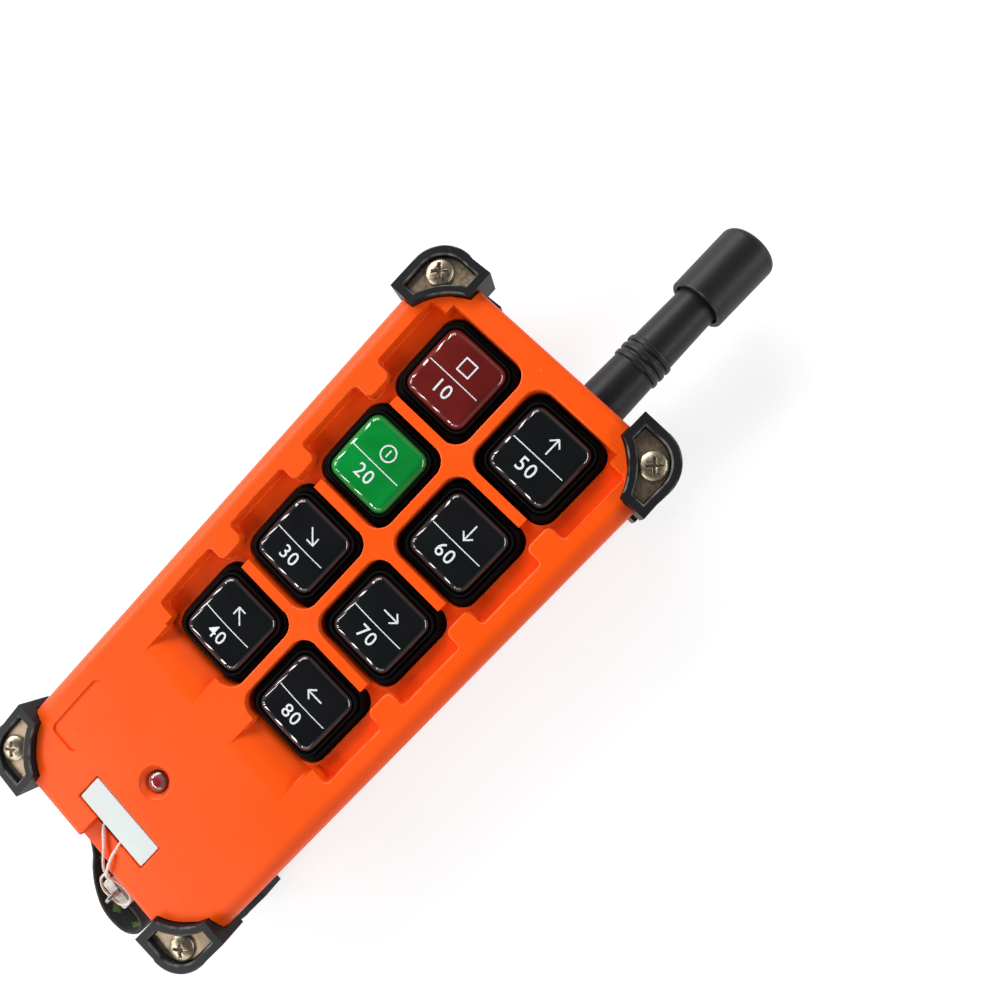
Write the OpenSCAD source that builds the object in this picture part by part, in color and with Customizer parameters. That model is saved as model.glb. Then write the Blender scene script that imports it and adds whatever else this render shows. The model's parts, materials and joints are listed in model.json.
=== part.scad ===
// Hand-held radio transmitter for an overhead crane, lying on its back.
// X runs across the keypad, +Y points to the antenna, +Z is the side with the keys.
// The origin is under the middle of the whole part, antenna included, on the resting surface.

/* [Case] */
// Length of the plain lower face, from the last windows to the end
lower_len = 49; // [46:0.5:60]
// Room inside between the batteries and the front face
front_room = 8.9; // [8.6:0.1:12]
// Room at each side between the battery bay and the wall
side_room = 1.4; // [1.2:0.1:4]
// Thickness of the moulded walls
wall_t = 2.2; // [1.8:0.1:2.6]
// Corner radius of the case seen from the front
body_corner_r = 5; // [4:0.5:6]
// Rounding of the long front and back edges
side_edge_r = 4; // [3:0.5:5]
// Rounding of the front and back edges at the two ends
end_edge_r = 1.6; // [1:0.2:2.4]

/* [Batteries] */
// Diameter of a battery cell
cell_d = 14.4; // [12:0.1:14.5]
// Length of a battery cell
cell_len = 50.2; // [44:0.1:51]

/* [Keypad] */
// Spacing of the keys, across and along
key_pitch = 23.4; // [22:0.1:24]
// Width of the thin ridges between the windows
ridge_w = 2.3; // [1.8:0.1:3]
// Corner radius of each window
window_r = 3.9; // [3:0.1:4.5]
// Depth of the keypad bed below the front face
bed_depth = 3.5; // [2.5:0.1:4]
// Width of the sloping rubber skirt between window and key
skirt_w = 1.85; // [1.7:0.05:2.4]
// Width of the rubber rim round the domed cap
cap_rim = 0.5; // [0.4:0.05:0.9]
// How far a key travels when pressed
key_travel = 1.8; // [1:0.1:2]

/* [Antenna] */
// Distance of the antenna from the middle of the case
antenna_x = 12; // [8:0.5:14]
// Length of the antenna outside the case
antenna_len = 44.5; // [40:0.5:60]
// Diameter of the antenna cap
antenna_cap_d = 12.8; // [12:0.1:14]

/* [Corner guards] */
// How far the rubber guards stand out in front and behind
guard_proud = 1.7; // [1.5:0.1:2.5]
// Thickness of the guards beside the case
guard_side_t = 2; // [1.6:0.1:3]
// Thickness of the guards past the ends of the case
guard_end_t = 3.5; // [2.5:0.1:4.5]
// Height of each guard along the thickness of the case
guard_h = 9; // [7:0.5:10]

/* [Strap] */
// Diameter of the strap's string
string_d = 0.9; // [0.8:0.1:1.2]
// Width of the woven band
band_w = 11; // [9:0.5:11.5]
// Thickness of the woven band
band_t = 0.9; // [0.7:0.1:1]

/* [Hidden] */
$fn = 64;
over = 1;
play = 0.3;
slip = 0.1;
thread_gap = 0.05;
half = 0.5;

// Sizes that follow from the batteries and the keypad
window_w = key_pitch - ridge_w;
key_w = window_w - 2 * skirt_w;
cap_w = key_w - 2 * cap_rim;
contact_room = 2.6;
bay_w = cell_len + 2 * contact_room;
bay_wall = 1.2;
keypad_x = (key_pitch + window_w) * half;
lobe_len = 4.35;
rail_w = 5.9;
body_w = 2 * max(keypad_x + lobe_len + rail_w, bay_w * half + bay_wall + side_room + wall_t);
keypad_top_gap = 5.7;
row_shares = [1.5, 0.5, -0.5, -1.5];
keypad_len = 2 * row_shares[0] * key_pitch + window_w;
body_len = keypad_top_gap + keypad_len + lower_len;
body_t = wall_t + play + cell_d + front_room;

// Heights
z_back = guard_proud;
z_front = guard_proud + body_t;
z_top = z_front + guard_proud;
split_shift = 0.1;
z_split = guard_proud + body_t * half - split_shift;
z_bed = z_front - bed_depth;
bed_plate_t = 2;
z_under = z_bed - bed_plate_t;
floor_z = z_back + wall_t;
end_y = body_len * half;

// Places along the case, measured from its middle
case_y = -(antenna_len - guard_end_t) * half;
grid_y = end_y - keypad_top_gap - keypad_len * half;
lamp_from_end = 22.5;
led_y = lamp_from_end - end_y;
label_from_end = 10;
label_y = label_from_end - end_y;

// Keypad bed with its rails, lobes, ridges and ramps
rail_x = body_w * half - rail_w;
lobe_gap = 0.1;
lobe_x = keypad_x + lobe_gap;
lobe_half = 3.25;
lobe_r = 1;
lobe_end_r = 1.4;
ridge_x = keypad_x - window_r;
pad_x = 6;
ramp_side_gap = 0.45;
ramp_x = keypad_x - ramp_side_gap;
ramp_len = 8.4;
ramp_r = (ramp_len * ramp_len + bed_depth * bed_depth) / (2 * bed_depth);
bed_top = end_y - keypad_top_gap;
bed_low = bed_top - keypad_len;

// Keys, their caps and the rubber mat
key_r = 3;
cap_r = 2.6;
cap_pocket = 0.9;
cap_crown = 0.8;
crown_r = 62;
key_sink = 0.7;
key_top = z_front - key_sink;
foot_drop = 2.4;
key_foot = z_under - foot_drop;
boot_w = window_w - 2 * play;
boot_r = window_r - play;
boot_open_w = key_w + 2 * play;
boot_open_r = key_r + play;
boot_lip = 0.55;
boot_top_share = (boot_open_w + 2 * boot_lip) / boot_w;
boot_base = 0.5;
boot_sink = 2;
boot_z = z_front - boot_sink;
mat_t = 1.2;
mat_margin = 0.75;
mat_side_margin = 1.75;
mat_r = 2;

// Boards
board_t = 1.6;
board_r = 1;
board_edge = 6.3;
board_side = 2.5;
switch_w = 6;
switch_r = 0.6;
switch_t = 2.2;
switch_stem_d = 3.4;
stem_rise = 0.8;
press_gap = 0.4;
board_top = key_foot - key_travel - press_gap - stem_rise - switch_t;
board_low = board_top - board_t;
post_x = (rail_x + lobe_x) * half;
post_d = 4.6;
post_row_shares = [1, -1];
board_w = 2 * (post_x + board_side);
board_len = (row_shares[0] - row_shares[3]) * key_pitch + 2 * board_edge;
board_screw_d = 1.7;
board_screw_head_d = 3.8;
board_screw_head_t = 1.2;
board_screw_len = 5;
radio_w = 30;
radio_len = 22;
radio_t = 3.2;
radio_x = -4;
radio_up = 27.5;

// Corner guards
guard_x = body_w * half + guard_side_t;
guard_y = end_y + guard_end_t;
guard_r = 8;
guard_leg_w = 14;
guard_leg_len = 15;
guard_in_x = guard_x - guard_leg_w;
guard_in_y = guard_y - guard_leg_len;
guard_arc_r = 15;
guard_arc_in_x = 20.2;
guard_arc_in_y = 19.7;
guard_arc_x = guard_x - guard_arc_in_x;
guard_arc_y = guard_y - guard_arc_in_y;
flange_t = 3.3;
plate_t = 1;
plate_drop = 1.3;
rim_t = 2.1;
rim_arc_t = 1.9;
screw_in_x = 5.6;
screw_in_y = 6.3;
screw_x = guard_x - screw_in_x;
screw_y = guard_y - screw_in_y;
screw_core_d = 2.6;
screw_hole_d = 3.4;
screw_head_d = 5.8;
screw_head_t = 1.2;
screw_crown_r = 6;
screw_len = 9;
slot_len_share = 0.62;
slot_w = 0.75;
slot_depth = 0.8;
boss_d = 7.4;

// Screws that hold the two halves together
case_screw_in_x = 5.3;
case_screw_x = body_w * half - case_screw_in_x;
case_screw_from_end = 17;
case_screw_above_bay = 8.5;
case_boss_d = 6;
case_screw_d = 2.2;
case_screw_hole_d = 3;
case_screw_head_d = 4.8;
case_screw_head_t = 1.6;
case_screw_len = 17;
case_slot_w = 0.7;
case_slot_depth = 0.6;

// Lamp, label and the shallow side panel
led_d = 5;
led_rim_d = 7.8;
led_rim_low_d = 5.9;
led_rim_depth = 1.3;
led_collar_t = 1;
led_collar_depth = 4.4;
led_body_gap = 0.3;
led_body_t = 1.2;
led_board_w = 9;
led_board_len = 6;
led_board_t = 1.2;
led_board_r = 0.4;
lens_r = led_d * half;
lens_crown_r = (lens_r * lens_r + led_rim_depth * led_rim_depth) / (2 * led_rim_depth);
label_w = 20.6;
label_h = 5.9;
label_r = 0.3;
label_t = 0.5;
label_depth = 0.7;
label_gap = 0.35;
panel_in_x = 10.5;
panel_from_end = 20.5;
panel_w = 8;
panel_len = 16.5;
panel_depth = 0.35;
panel_r = 1.6;

// Strap fixing under the label
groove_w = 8.9;
groove_depth = 2.15;
bar_d = 1.6;
bar_from_end = 7.4;
bar_drop = 2.9;
bar_y = bar_from_end - end_y;
bar_z = z_front - bar_drop;
pocket_up = 3;
pocket_down = 2.4;
pocket_drop = 1.7;
pocket_y = bar_y + pocket_up;
pocket_end_y = bar_y - pocket_down;
pocket_z = bar_z - pocket_drop;
anchor_wall = 2;
anchor_end_wall = 3.2;

// Seal in the joint between the halves
seal_w = 1;
seal_above = 0.4;
seal_below = 0.8;

// Batteries, their bay and its door
bay_play = 0.3;
cell_pitch = cell_d + 2 * bay_play;
stud_d = 5.4;
stud_len = 1;
door_inset = 0.1;
door_from_end = 7.6;
cover_w = cell_len - 2 * door_inset;
cover_len = cell_pitch + cell_d - 2 * door_inset - 2 * play;
cover_r = 2;
cover_play = 0.3;
cell_mid_y = door_from_end + cover_play + cover_len * half - end_y;
cell_z = floor_z + play + cell_d * half;
bay_len = cell_pitch + cell_d + 4 * bay_play;
bay_r = 0.5;
spring_plate_d = 7;
spring_wire_r = 0.5;
spring_r = 2.4;
spring_widening = 0.5;
ring_shares = [0.24, 0.5];
plate_share = 0.35;
contact_w = 9;
contact_t = 0.4;
contact_r = 0.5;
contact_stud_d = 4;
notch_d = 9;
grip_count = 5;
grip_w = 18;
grip_pitch = 1.6;
grip_cut = 0.8;
grip_depth = 0.4;
grip_from_edge = 5;
hinge_z = z_back + wall_t * half;
hinge_y = cell_mid_y + (cover_len - wall_t) * half;
case_screw_ys = [end_y - case_screw_from_end, cell_mid_y + bay_len * half + case_screw_above_bay];

// Antenna, measured from the end face of the case
antenna_z = z_split;
sleeve_len = 10.4;
sleeve_d = 11.2;
sleeve_top_d = 10.5;
neck_d = 8.4;
collar_d = 12;
collar_t = 2.2;
rib_count = 3;
rib_pitch = 1.9;
rib_w = 1.1;
rib_start_share = 0.35;
rib_d = 11.2;
rib_gap_d = 10;
shaft_d = 10.3;
shaft_top_d = 9.4;
cap_len = 15.4;
cap_mouth_depth = 1.4;
cap_mouth_gap = 0.6;
cap_dome_r = 1.4;
core_d = 3;
core_inside = 8.8;
core_cap_wall = 4;

// Strap, measured from the end face of the case: the routes are points chosen by hand
edge_share = 0.3;
band_low = 0.3;
clip_mid = [8.5, -15.4];
clip_w = 8.4;
clip_t = 2.8;
clip_r = 0.8;
clip_over = 0.4;
eye_d = 3.4;
eye_hole_d = 1.9;
eye_t = 1;
eye_sink = 0.1;
string_route = [
    [-2.5, 8.8, 24.2], [-2.5, 8.5, 25.4], [-2.5, 7.4, 26], [-2.4, 6, 26], [-1.2, 4.4, 26], [0.9, 2.4, 26],
    [3.3, 0, 26.2], [4.6, -2.4, 24.8], [5.4, -5.4, 21.4], [5.2, -7.8, 18.6], [3.8, -11, 15.6],
    [3.7, -14.2, 13.9], [5.9, -15.8, 13.4], [8.5, -15.6, 13.3], [11, -15, 13.4], [12.6, -12.8, 13.8],
    [11.8, -10, 15.2], [9.4, -8.2, 17], [7.5, -6.6, 19.4], [7.1, -4.6, 22.2], [6.8, -2.2, 25.4],
    [6.2, -0.2, 27.8], [5.2, 2, 28.3], [4.2, 4, 28], [3.4, 5.8, 26.6], [3.1, 7.4, 26], [3.1, 8.5, 25.4],
    [3.1, 8.8, 24.2]];
band_route = [
    [12.2, -15.4], [15.6, -15.4], [18.2, -16.2], [18.6, -18.4], [16.2, -20.6], [12.2, -21.4], [7.8, -20.9],
    [3.4, -18.8], [0, -16.2], [-3, -13.2], [-8, -11], [-20, -10.2], [-30, -7.4], [-36, -1], [-37.2, 10],
    [-37.2, 34], [-37.2, 60], [-37, 70], [-35.3, 73.4], [-33.6, 70], [-33.3, 60], [-33.4, 28],
    [-35.2, 14.5], [-35.5, 5], [-32.4, -2.8], [-24, -5.6], [-12, -5.8], [-2.4, -7], [1.6, -12], [4.8, -15.4]];

// Shared shapes

module at_case() {
    translate([0, case_y, 0]) children();
}

module at_case_end() {
    translate([0, case_y - end_y, 0]) children();
}

module rounded_rect(w, l, r) {
    square([w - 2 * r, l], center = true);
    square([w, l - 2 * r], center = true);
    for (x = [-1, 1], y = [-1, 1])
        translate([x * (w * half - r), y * (l * half - r)]) circle(r = r);
}

module block(w, l, r, z0, z1) {
    translate([0, 0, z0]) linear_extrude(z1 - z0) rounded_rect(w, l, r);
}

module rod(d, z0, z1) {
    translate([0, 0, z0]) cylinder(d = d, h = z1 - z0);
}

module corners(xs, ys) {
    for (x = xs, y = ys) translate([x, y, 0]) children();
}

// The outside of the closed case: its plan, its long edges and its ends, intersected
module case_form(inset = 0) {
    w = body_w - 2 * inset;
    l = body_len - 2 * inset;
    t = body_t - 2 * inset;
    intersection() {
        block(w, l, body_corner_r - inset * half, z_back + inset, z_front - inset);
        translate([0, l * half, z_back + inset + t * half]) rotate([90, 0, 0])
            linear_extrude(l) rounded_rect(w, t, side_edge_r - inset * half);
        translate([-w * half, 0, z_back + inset + t * half]) rotate([90, 0, 90])
            linear_extrude(w) rounded_rect(l, t, end_edge_r - inset * half);
    }
}

function key_x(col) = col * key_pitch * half;
function key_y(row) = grid_y + row_shares[row] * key_pitch;

module each_key() {
    for (col = [-1, 1], row = [0:3]) translate([key_x(col), key_y(row), 0]) children();
}

// Front case: rails, ridges, lobes and the keypad bed

module windows(grow = 0) {
    each_key() rounded_rect(window_w + 2 * grow, window_w + 2 * grow, window_r + grow);
}

module bed_plan() {
    trough_len = key_pitch - 2 * lobe_half;
    difference() {
        union() {
            translate([-lobe_x, bed_low]) square([2 * lobe_x, bed_top - bed_low]);
            for (row = [0:3]) translate([0, key_y(row)]) rounded_rect(2 * rail_x, trough_len, lobe_r);
            // Rounded ends of the lobes, which stand between the rows
            for (side = [0, 1], row = [0:2], way = [0, 1])
                mirror([side, 0]) translate([lobe_x, key_y(row) - key_pitch * half]) mirror([0, way])
                    translate([0, lobe_half - lobe_end_r]) difference() {
                        square(lobe_end_r);
                        translate([lobe_end_r, 0]) circle(r = lobe_end_r);
                    }
        }
        difference() {
            translate([-ridge_x, bed_low - over]) square([2 * ridge_x, bed_top - bed_low + 2 * over]);
            windows();
        }
    }
}

// The rounded slope that leads from the keypad bed up to the plain lower face
module lower_ramps() {
    for (side = [-1, 1]) translate([side * (pad_x + ramp_x) * half, bed_low - ramp_len, 0]) difference() {
        translate([(pad_x - ramp_x) * half, 0, z_bed]) cube([ramp_x - pad_x, ramp_len + over, body_t]);
        translate([0, 0, z_front - ramp_r]) rotate([0, 90, 0])
            cylinder(r = ramp_r, h = ramp_x - pad_x + over, center = true, $fn = 128);
    }
}

module guard_plan(grow = 0) {
    difference() {
        intersection() {
            rounded_rect(2 * guard_x, 2 * guard_y, guard_r);
            translate([guard_in_x - grow, guard_in_y - grow]) square([body_w, body_len]);
        }
        translate([guard_arc_x, guard_arc_y]) circle(r = guard_arc_r - grow);
    }
}

module each_corner_2d() {
    for (x = [0, 1], y = [0, 1]) mirror([x, 0]) mirror([0, y]) children();
}

module antenna_notch(d) {
    translate([antenna_x, end_y + over, antenna_z]) rotate([90, 0, 0])
        cylinder(d = d, h = wall_t + 2 * over);
}

module each_post() {
    for (x = [-1, 1], n = post_row_shares) translate([x * post_x, grid_y + n * key_pitch, 0]) children();
}

module seal_ring(depth_low, depth_high) {
    w = body_w - wall_t;
    l = body_len - wall_t;
    difference() {
        block(w + seal_w, l + seal_w, body_corner_r - (wall_t - seal_w) * half,
            z_split - depth_low, z_split + depth_high);
        block(w - seal_w, l - seal_w, body_corner_r - (wall_t + seal_w) * half,
            z_split - depth_low - over, z_split + depth_high + over);
    }
}

module front_case() {
    cavity_w = body_w - 2 * wall_t;
    cavity_len = body_len - 2 * wall_t;
    room_low = wall_t - cavity_len * half;
    room_top = bed_low - ramp_len - wall_t;
    color("orangered") at_case() difference() {
        union() {
            difference() {
                intersection() {
                    case_form();
                    block(body_w, body_len, body_corner_r, z_split, z_front);
                }
                // Room under the keypad, and the deeper room under the plain lower face
                block(cavity_w, cavity_len, body_corner_r - wall_t * half, z_split - over, z_under);
                translate([wall_t - cavity_w * half, room_low, z_split])
                    cube([cavity_w - 2 * wall_t, room_top - room_low, z_front - wall_t - z_split]);
            }
            // Bosses for the guard screws and the case screws, and posts for the board
            intersection() {
                corners([-screw_x, screw_x], [-screw_y, screw_y]) rod(boss_d, z_split, z_front - over);
                case_form();
            }
            corners([-case_screw_x, case_screw_x], case_screw_ys) rod(case_boss_d, z_split, z_under + over);
            each_post() rod(post_d, board_top, z_under + over);
            // Solid block round the strap bar
            translate([-groove_w * half - anchor_wall, pocket_end_y - anchor_end_wall, pocket_z - anchor_wall])
                cube([groove_w + 2 * anchor_wall, pocket_y - pocket_end_y + anchor_end_wall + over,
                    z_front - pocket_z]);
            // Collar round the status lamp
            translate([0, led_y, 0])
                rod(led_rim_d + 2 * led_collar_t, z_front - led_collar_depth, z_front - over);
        }
        translate([0, 0, z_bed]) linear_extrude(bed_depth + over) bed_plan();
        translate([0, 0, z_under - over]) linear_extrude(body_t) windows();
        lower_ramps();
        // Seats of the guards
        translate([0, 0, z_top - flange_t]) linear_extrude(body_t) each_corner_2d() guard_plan(slip);
        corners([-screw_x, screw_x], [-screw_y, screw_y])
            rod(screw_core_d + 2 * thread_gap, z_split - over, z_front);
        corners([-case_screw_x, case_screw_x], case_screw_ys)
            rod(case_screw_d + 2 * thread_gap, z_split - over, z_under);
        each_post() rod(board_screw_d + 2 * thread_gap, board_top - over, board_top + board_screw_len);
        // Lamp hole with its conical rim
        translate([0, led_y, 0]) rod(led_d + 2 * slip, z_split, z_front + over);
        translate([0, led_y, z_front - led_rim_depth])
            cylinder(d1 = led_rim_low_d, d2 = led_rim_d, h = led_rim_depth);
        translate([0, led_y, z_front - slip]) cylinder(d = led_rim_d, h = over);
        // Label recess, shallow side panel, strap groove and pocket
        translate([0, label_y, 0])
            block(label_w + 2 * label_gap, label_h + 2 * label_gap, label_r, z_front - label_depth,
                z_front + over);
        translate([panel_in_x - body_w * half, panel_from_end - end_y, 0])
            block(panel_w, panel_len, panel_r, z_front - panel_depth, z_front + over);
        translate([-groove_w * half, -end_y - over, z_front - groove_depth])
            cube([groove_w, end_y + over + pocket_y, groove_depth + over]);
        translate([-groove_w * half, pocket_end_y, pocket_z])
            cube([groove_w, pocket_y - pocket_end_y, z_front - pocket_z]);
        translate([0, bar_y, bar_z]) rotate([0, 90, 0])
            cylinder(d = bar_d, h = groove_w + anchor_wall, center = true);
        seal_ring(over, seal_above);
        antenna_notch(neck_d + 2 * slip);
    }
}

// Rear case with the battery bay

module rear_case() {
    cavity_w = body_w - 2 * wall_t;
    cavity_len = body_len - 2 * wall_t;
    color("orangered") at_case() difference() {
        union() {
            difference() {
                intersection() {
                    case_form();
                    block(body_w, body_len, body_corner_r, z_back, z_split);
                }
                block(cavity_w, cavity_len, body_corner_r - wall_t * half, floor_z, z_split + over);
            }
            intersection() {
                corners([-screw_x, screw_x], [-screw_y, screw_y]) rod(boss_d, z_back + over, z_split);
                case_form();
            }
            corners([-case_screw_x, case_screw_x], case_screw_ys) rod(case_boss_d, floor_z - over, z_split);
            // Walls of the battery bay
            translate([0, cell_mid_y, 0]) difference() {
                block(bay_w + 2 * bay_wall, bay_len + 2 * bay_wall, bay_r + bay_wall, floor_z - over, z_split);
                block(bay_w, bay_len, bay_r, floor_z, z_split + over);
            }
        }
        // Door opening, with square corners at the hinge
        translate([0, cell_mid_y, 0])
            block(cover_w + 2 * cover_play, cover_len + 2 * cover_play, cover_r, z_back - over, floor_z + over);
        translate([-cover_w * half - cover_play, cell_mid_y, z_back - over])
            cube([cover_w + 2 * cover_play, cover_len * half + cover_play, wall_t + 2 * over]);
        // Finger notch at the free edge of the door
        translate([0, cell_mid_y - cover_len * half, 0]) rod(notch_d, z_back - over, z_back + over);
        translate([0, 0, -body_t + flange_t]) linear_extrude(body_t) each_corner_2d() guard_plan(slip);
        corners([-screw_x, screw_x], [-screw_y, screw_y])
            rod(screw_core_d + 2 * thread_gap, z_back, z_split + over);
        corners([-case_screw_x, case_screw_x], case_screw_ys) {
            rod(case_screw_hole_d, z_back - over, z_split + over);
            rod(case_screw_head_d + 2 * slip, z_back - over, z_back + case_screw_head_t);
        }
        seal_ring(seal_below, over);
        antenna_notch(neck_d + 2 * slip);
    }
}

module case_seal() {
    color("dimgray") at_case() difference() {
        seal_ring(seal_below, seal_above);
        antenna_notch(neck_d + 2 * slip);
    }
}

// Keypad

module keypad_mat() {
    mat_w = 2 * (keypad_x + mat_side_margin);
    mat_len = bed_top - bed_low + 2 * mat_margin;
    skirt_low = z_bed - boot_base;
    color("black") at_case() difference() {
        union() {
            translate([0, grid_y, 0]) block(mat_w, mat_len, mat_r, z_under - mat_t, z_under);
            each_key() {
                block(boot_w, boot_w, boot_r, z_under - slip, skirt_low);
                translate([0, 0, skirt_low])
                    linear_extrude(boot_z - skirt_low, scale = boot_top_share)
                    rounded_rect(boot_w, boot_w, boot_r, $fn = 32);
            }
        }
        each_key() block(boot_open_w, boot_open_w, boot_open_r, z_under - 2 * mat_t, z_front);
        each_post() rod(post_d + 2 * play, z_split, z_under + slip);
        corners([-case_screw_x, case_screw_x], case_screw_ys) rod(case_boss_d + 2 * play, z_back, z_front);
    }
}

// One rubber key with the pocket for its cap
module key(col, row) {
    at_case() translate([key_x(col), key_y(row), 0]) difference() {
        union() {
            block(key_w, key_w, key_r, z_under - mat_t, key_top);
            block(key_w * half, key_w * half, key_r, key_foot, z_under);
        }
        block(cap_w + 2 * slip, cap_w + 2 * slip, cap_r + slip, key_top - cap_pocket, z_top);
    }
}

// The domed cap that sits in the key's pocket
module cap(col, row) {
    cap_top = z_front + cap_crown;
    at_case() translate([key_x(col), key_y(row), 0]) intersection() {
        block(cap_w, cap_w, cap_r, key_top - cap_pocket, z_top);
        translate([0, 0, cap_top - crown_r]) sphere(r = crown_r, $fn = 200);
    }
}

module key_stop() { color("dimgray") key(-1, 0); }
module key_start() { color("dimgray") key(-1, 1); }
module key_south() { color("dimgray") key(-1, 2); }
module key_north() { color("dimgray") key(-1, 3); }
module key_up() { color("dimgray") key(1, 0); }
module key_down() { color("dimgray") key(1, 1); }
module key_east() { color("dimgray") key(1, 2); }
module key_west() { color("dimgray") key(1, 3); }
module cap_stop() { color("darkred") cap(-1, 0); }
module cap_start() { color("green") cap(-1, 1); }
module cap_south() { color("black") cap(-1, 2); }
module cap_north() { color("black") cap(-1, 3); }
module cap_up() { color("black") cap(1, 0); }
module cap_down() { color("black") cap(1, 1); }
module cap_east() { color("black") cap(1, 2); }
module cap_west() { color("black") cap(1, 3); }

// Boards and radio

module circuit_board() {
    color("darkgreen") at_case() difference() {
        translate([0, grid_y, 0]) block(board_w, board_len, board_r, board_low, board_top);
        each_post() rod(board_screw_d + 2 * slip, board_low - over, board_top + over);
        corners([-case_screw_x, case_screw_x], case_screw_ys) rod(case_boss_d + 2 * play, z_back, z_front);
    }
}

module key_switches() {
    color("silver") at_case() each_key() {
        block(switch_w, switch_w, switch_r, board_top, board_top + switch_t);
        rod(switch_stem_d, board_top, board_top + switch_t + stem_rise);
    }
}

module board_screws() {
    color("silver") at_case() each_post() {
        rod(board_screw_d, board_low - slip, board_low + board_screw_len);
        rod(board_screw_head_d, board_low - board_screw_head_t, board_low);
    }
}

module radio_module() {
    color("lightgray") at_case() translate([radio_x, grid_y + radio_up, 0])
        block(radio_w, radio_len, board_r, board_low - radio_t, board_low);
}

// The lamp's small board is seated on the collar, with the lamp's body in the bore
module status_led() {
    seat = z_front - led_collar_depth;
    color("firebrick") at_case() translate([0, led_y, 0]) {
        rod(led_d - 2 * led_body_gap, seat - slip, seat + led_body_t);
        block(led_board_w, led_board_len, led_board_r, seat - led_board_t, seat);
    }
}

module led_lens() {
    rim = z_front - led_rim_depth;
    low = z_front - led_collar_depth + led_body_t + slip;
    color("red", 0.7) at_case() translate([0, led_y, 0]) {
        rod(led_d, low, rim);
        intersection() {
            translate([0, 0, z_front - lens_crown_r]) sphere(r = lens_crown_r);
            rod(led_d, rim - slip, z_front);
        }
    }
}

module label_plate() {
    color("white") at_case() translate([0, label_y, 0])
        block(label_w, label_h, label_r, z_front - label_depth, z_front - label_depth + label_t);
}

module strap_bar() {
    color("silver") at_case() translate([0, bar_y, bar_z]) rotate([0, 90, 0])
        cylinder(d = bar_d, h = groove_w + anchor_wall, center = true);
}

// Antenna: a metal core, a ribbed sleeve, a shaft and a cap

module at_antenna() {
    at_case() translate([antenna_x, end_y, antenna_z]) rotate([-90, 0, 0]) children();
}

module antenna_core() {
    color("goldenrod") at_antenna() rod(core_d, -core_inside, antenna_len - core_cap_wall);
}

module antenna_sleeve() {
    ribs_len = rib_count * rib_pitch;
    color("darkslategray") at_antenna() difference() {
        union() {
            cylinder(d1 = sleeve_d, d2 = sleeve_top_d, h = sleeve_len);
            rod(neck_d, -wall_t - slip, slip);
            rod(collar_d, -wall_t - collar_t, -wall_t);
            rod(rib_gap_d, sleeve_len - slip, sleeve_len + ribs_len);
            for (n = [0:rib_count - 1])
                translate([0, 0, sleeve_len + (n + rib_start_share) * rib_pitch]) rod(rib_d, 0, rib_w);
        }
        rod(core_d, -wall_t - collar_t - over, antenna_len);
    }
}

module antenna_shaft() {
    low = sleeve_len + rib_count * rib_pitch;
    high = antenna_len - cap_len + cap_mouth_depth;
    color("darkslategray") at_antenna() difference() {
        translate([0, 0, low]) cylinder(d1 = shaft_d, d2 = shaft_top_d, h = high - low);
        rod(core_d, 0, antenna_len);
    }
}

module antenna_cap() {
    low = antenna_len - cap_len;
    r = antenna_cap_d * half;
    color("darkslategray") at_antenna() difference() {
        union() {
            rod(antenna_cap_d, low, antenna_len - cap_dome_r);
            translate([0, 0, antenna_len - cap_dome_r]) rotate_extrude() {
                square([r - cap_dome_r, cap_dome_r]);
                intersection() {
                    translate([r - cap_dome_r, 0]) circle(r = cap_dome_r);
                    square([r, cap_dome_r]);
                }
            }
        }
        rod(shaft_top_d + 2 * cap_mouth_gap, low - over, low + cap_mouth_depth);
        rod(core_d, low - over, antenna_len - core_cap_wall);
    }
}

// Corner guards, each with a screwed metal plate let into it

module front_guard() {
    difference() {
        translate([0, 0, z_top - guard_h]) linear_extrude(guard_h) guard_plan();
        // The case itself, below the flange
        block(body_w, body_len, body_corner_r, 0, z_top - flange_t);
        translate([0, 0, z_top - plate_drop - plate_t]) linear_extrude(body_t) plate_plan(slip);
        translate([screw_x, screw_y, 0]) rod(screw_hole_d, 0, 2 * z_top);
    }
}

module plate_plan(grow = 0) {
    rim = rim_t - grow;
    difference() {
        intersection() {
            rounded_rect(2 * (guard_x - rim), 2 * (guard_y - rim), guard_r - rim);
            translate([guard_in_x + rim, guard_in_y + rim]) square([body_w, body_len]);
        }
        translate([guard_arc_x, guard_arc_y]) circle(r = guard_arc_r + rim_arc_t - grow);
    }
}

module guard_plate() {
    difference() {
        translate([0, 0, z_top - plate_drop - plate_t]) linear_extrude(plate_t) plate_plan();
        translate([screw_x, screw_y, 0]) rod(screw_hole_d, 0, 2 * z_top);
    }
}

// Raised cross-slot screw, its head on the plate
module guard_screw() {
    seat = z_top - plate_drop;
    top = seat + screw_head_t;
    translate([screw_x, screw_y, 0]) difference() {
        union() {
            rod(screw_core_d, seat - screw_len, seat + slip);
            intersection() {
                rod(screw_head_d, seat, top);
                translate([0, 0, top - screw_crown_r]) sphere(r = screw_crown_r);
            }
        }
        for (turn = [45, 135])
            rotate([0, 0, turn]) translate([0, 0, top])
                cube([screw_head_d * slot_len_share, slot_w, 2 * slot_depth], center = true);
    }
}

// Puts a front corner piece in a corner; side and end are 0 for right and top, 1 for left and low
module in_corner(side, end, rear = 0) {
    at_case() translate([0, 0, rear * z_top]) mirror([0, 0, rear]) mirror([side, 0, 0])
        mirror([0, end, 0]) children();
}

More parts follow.
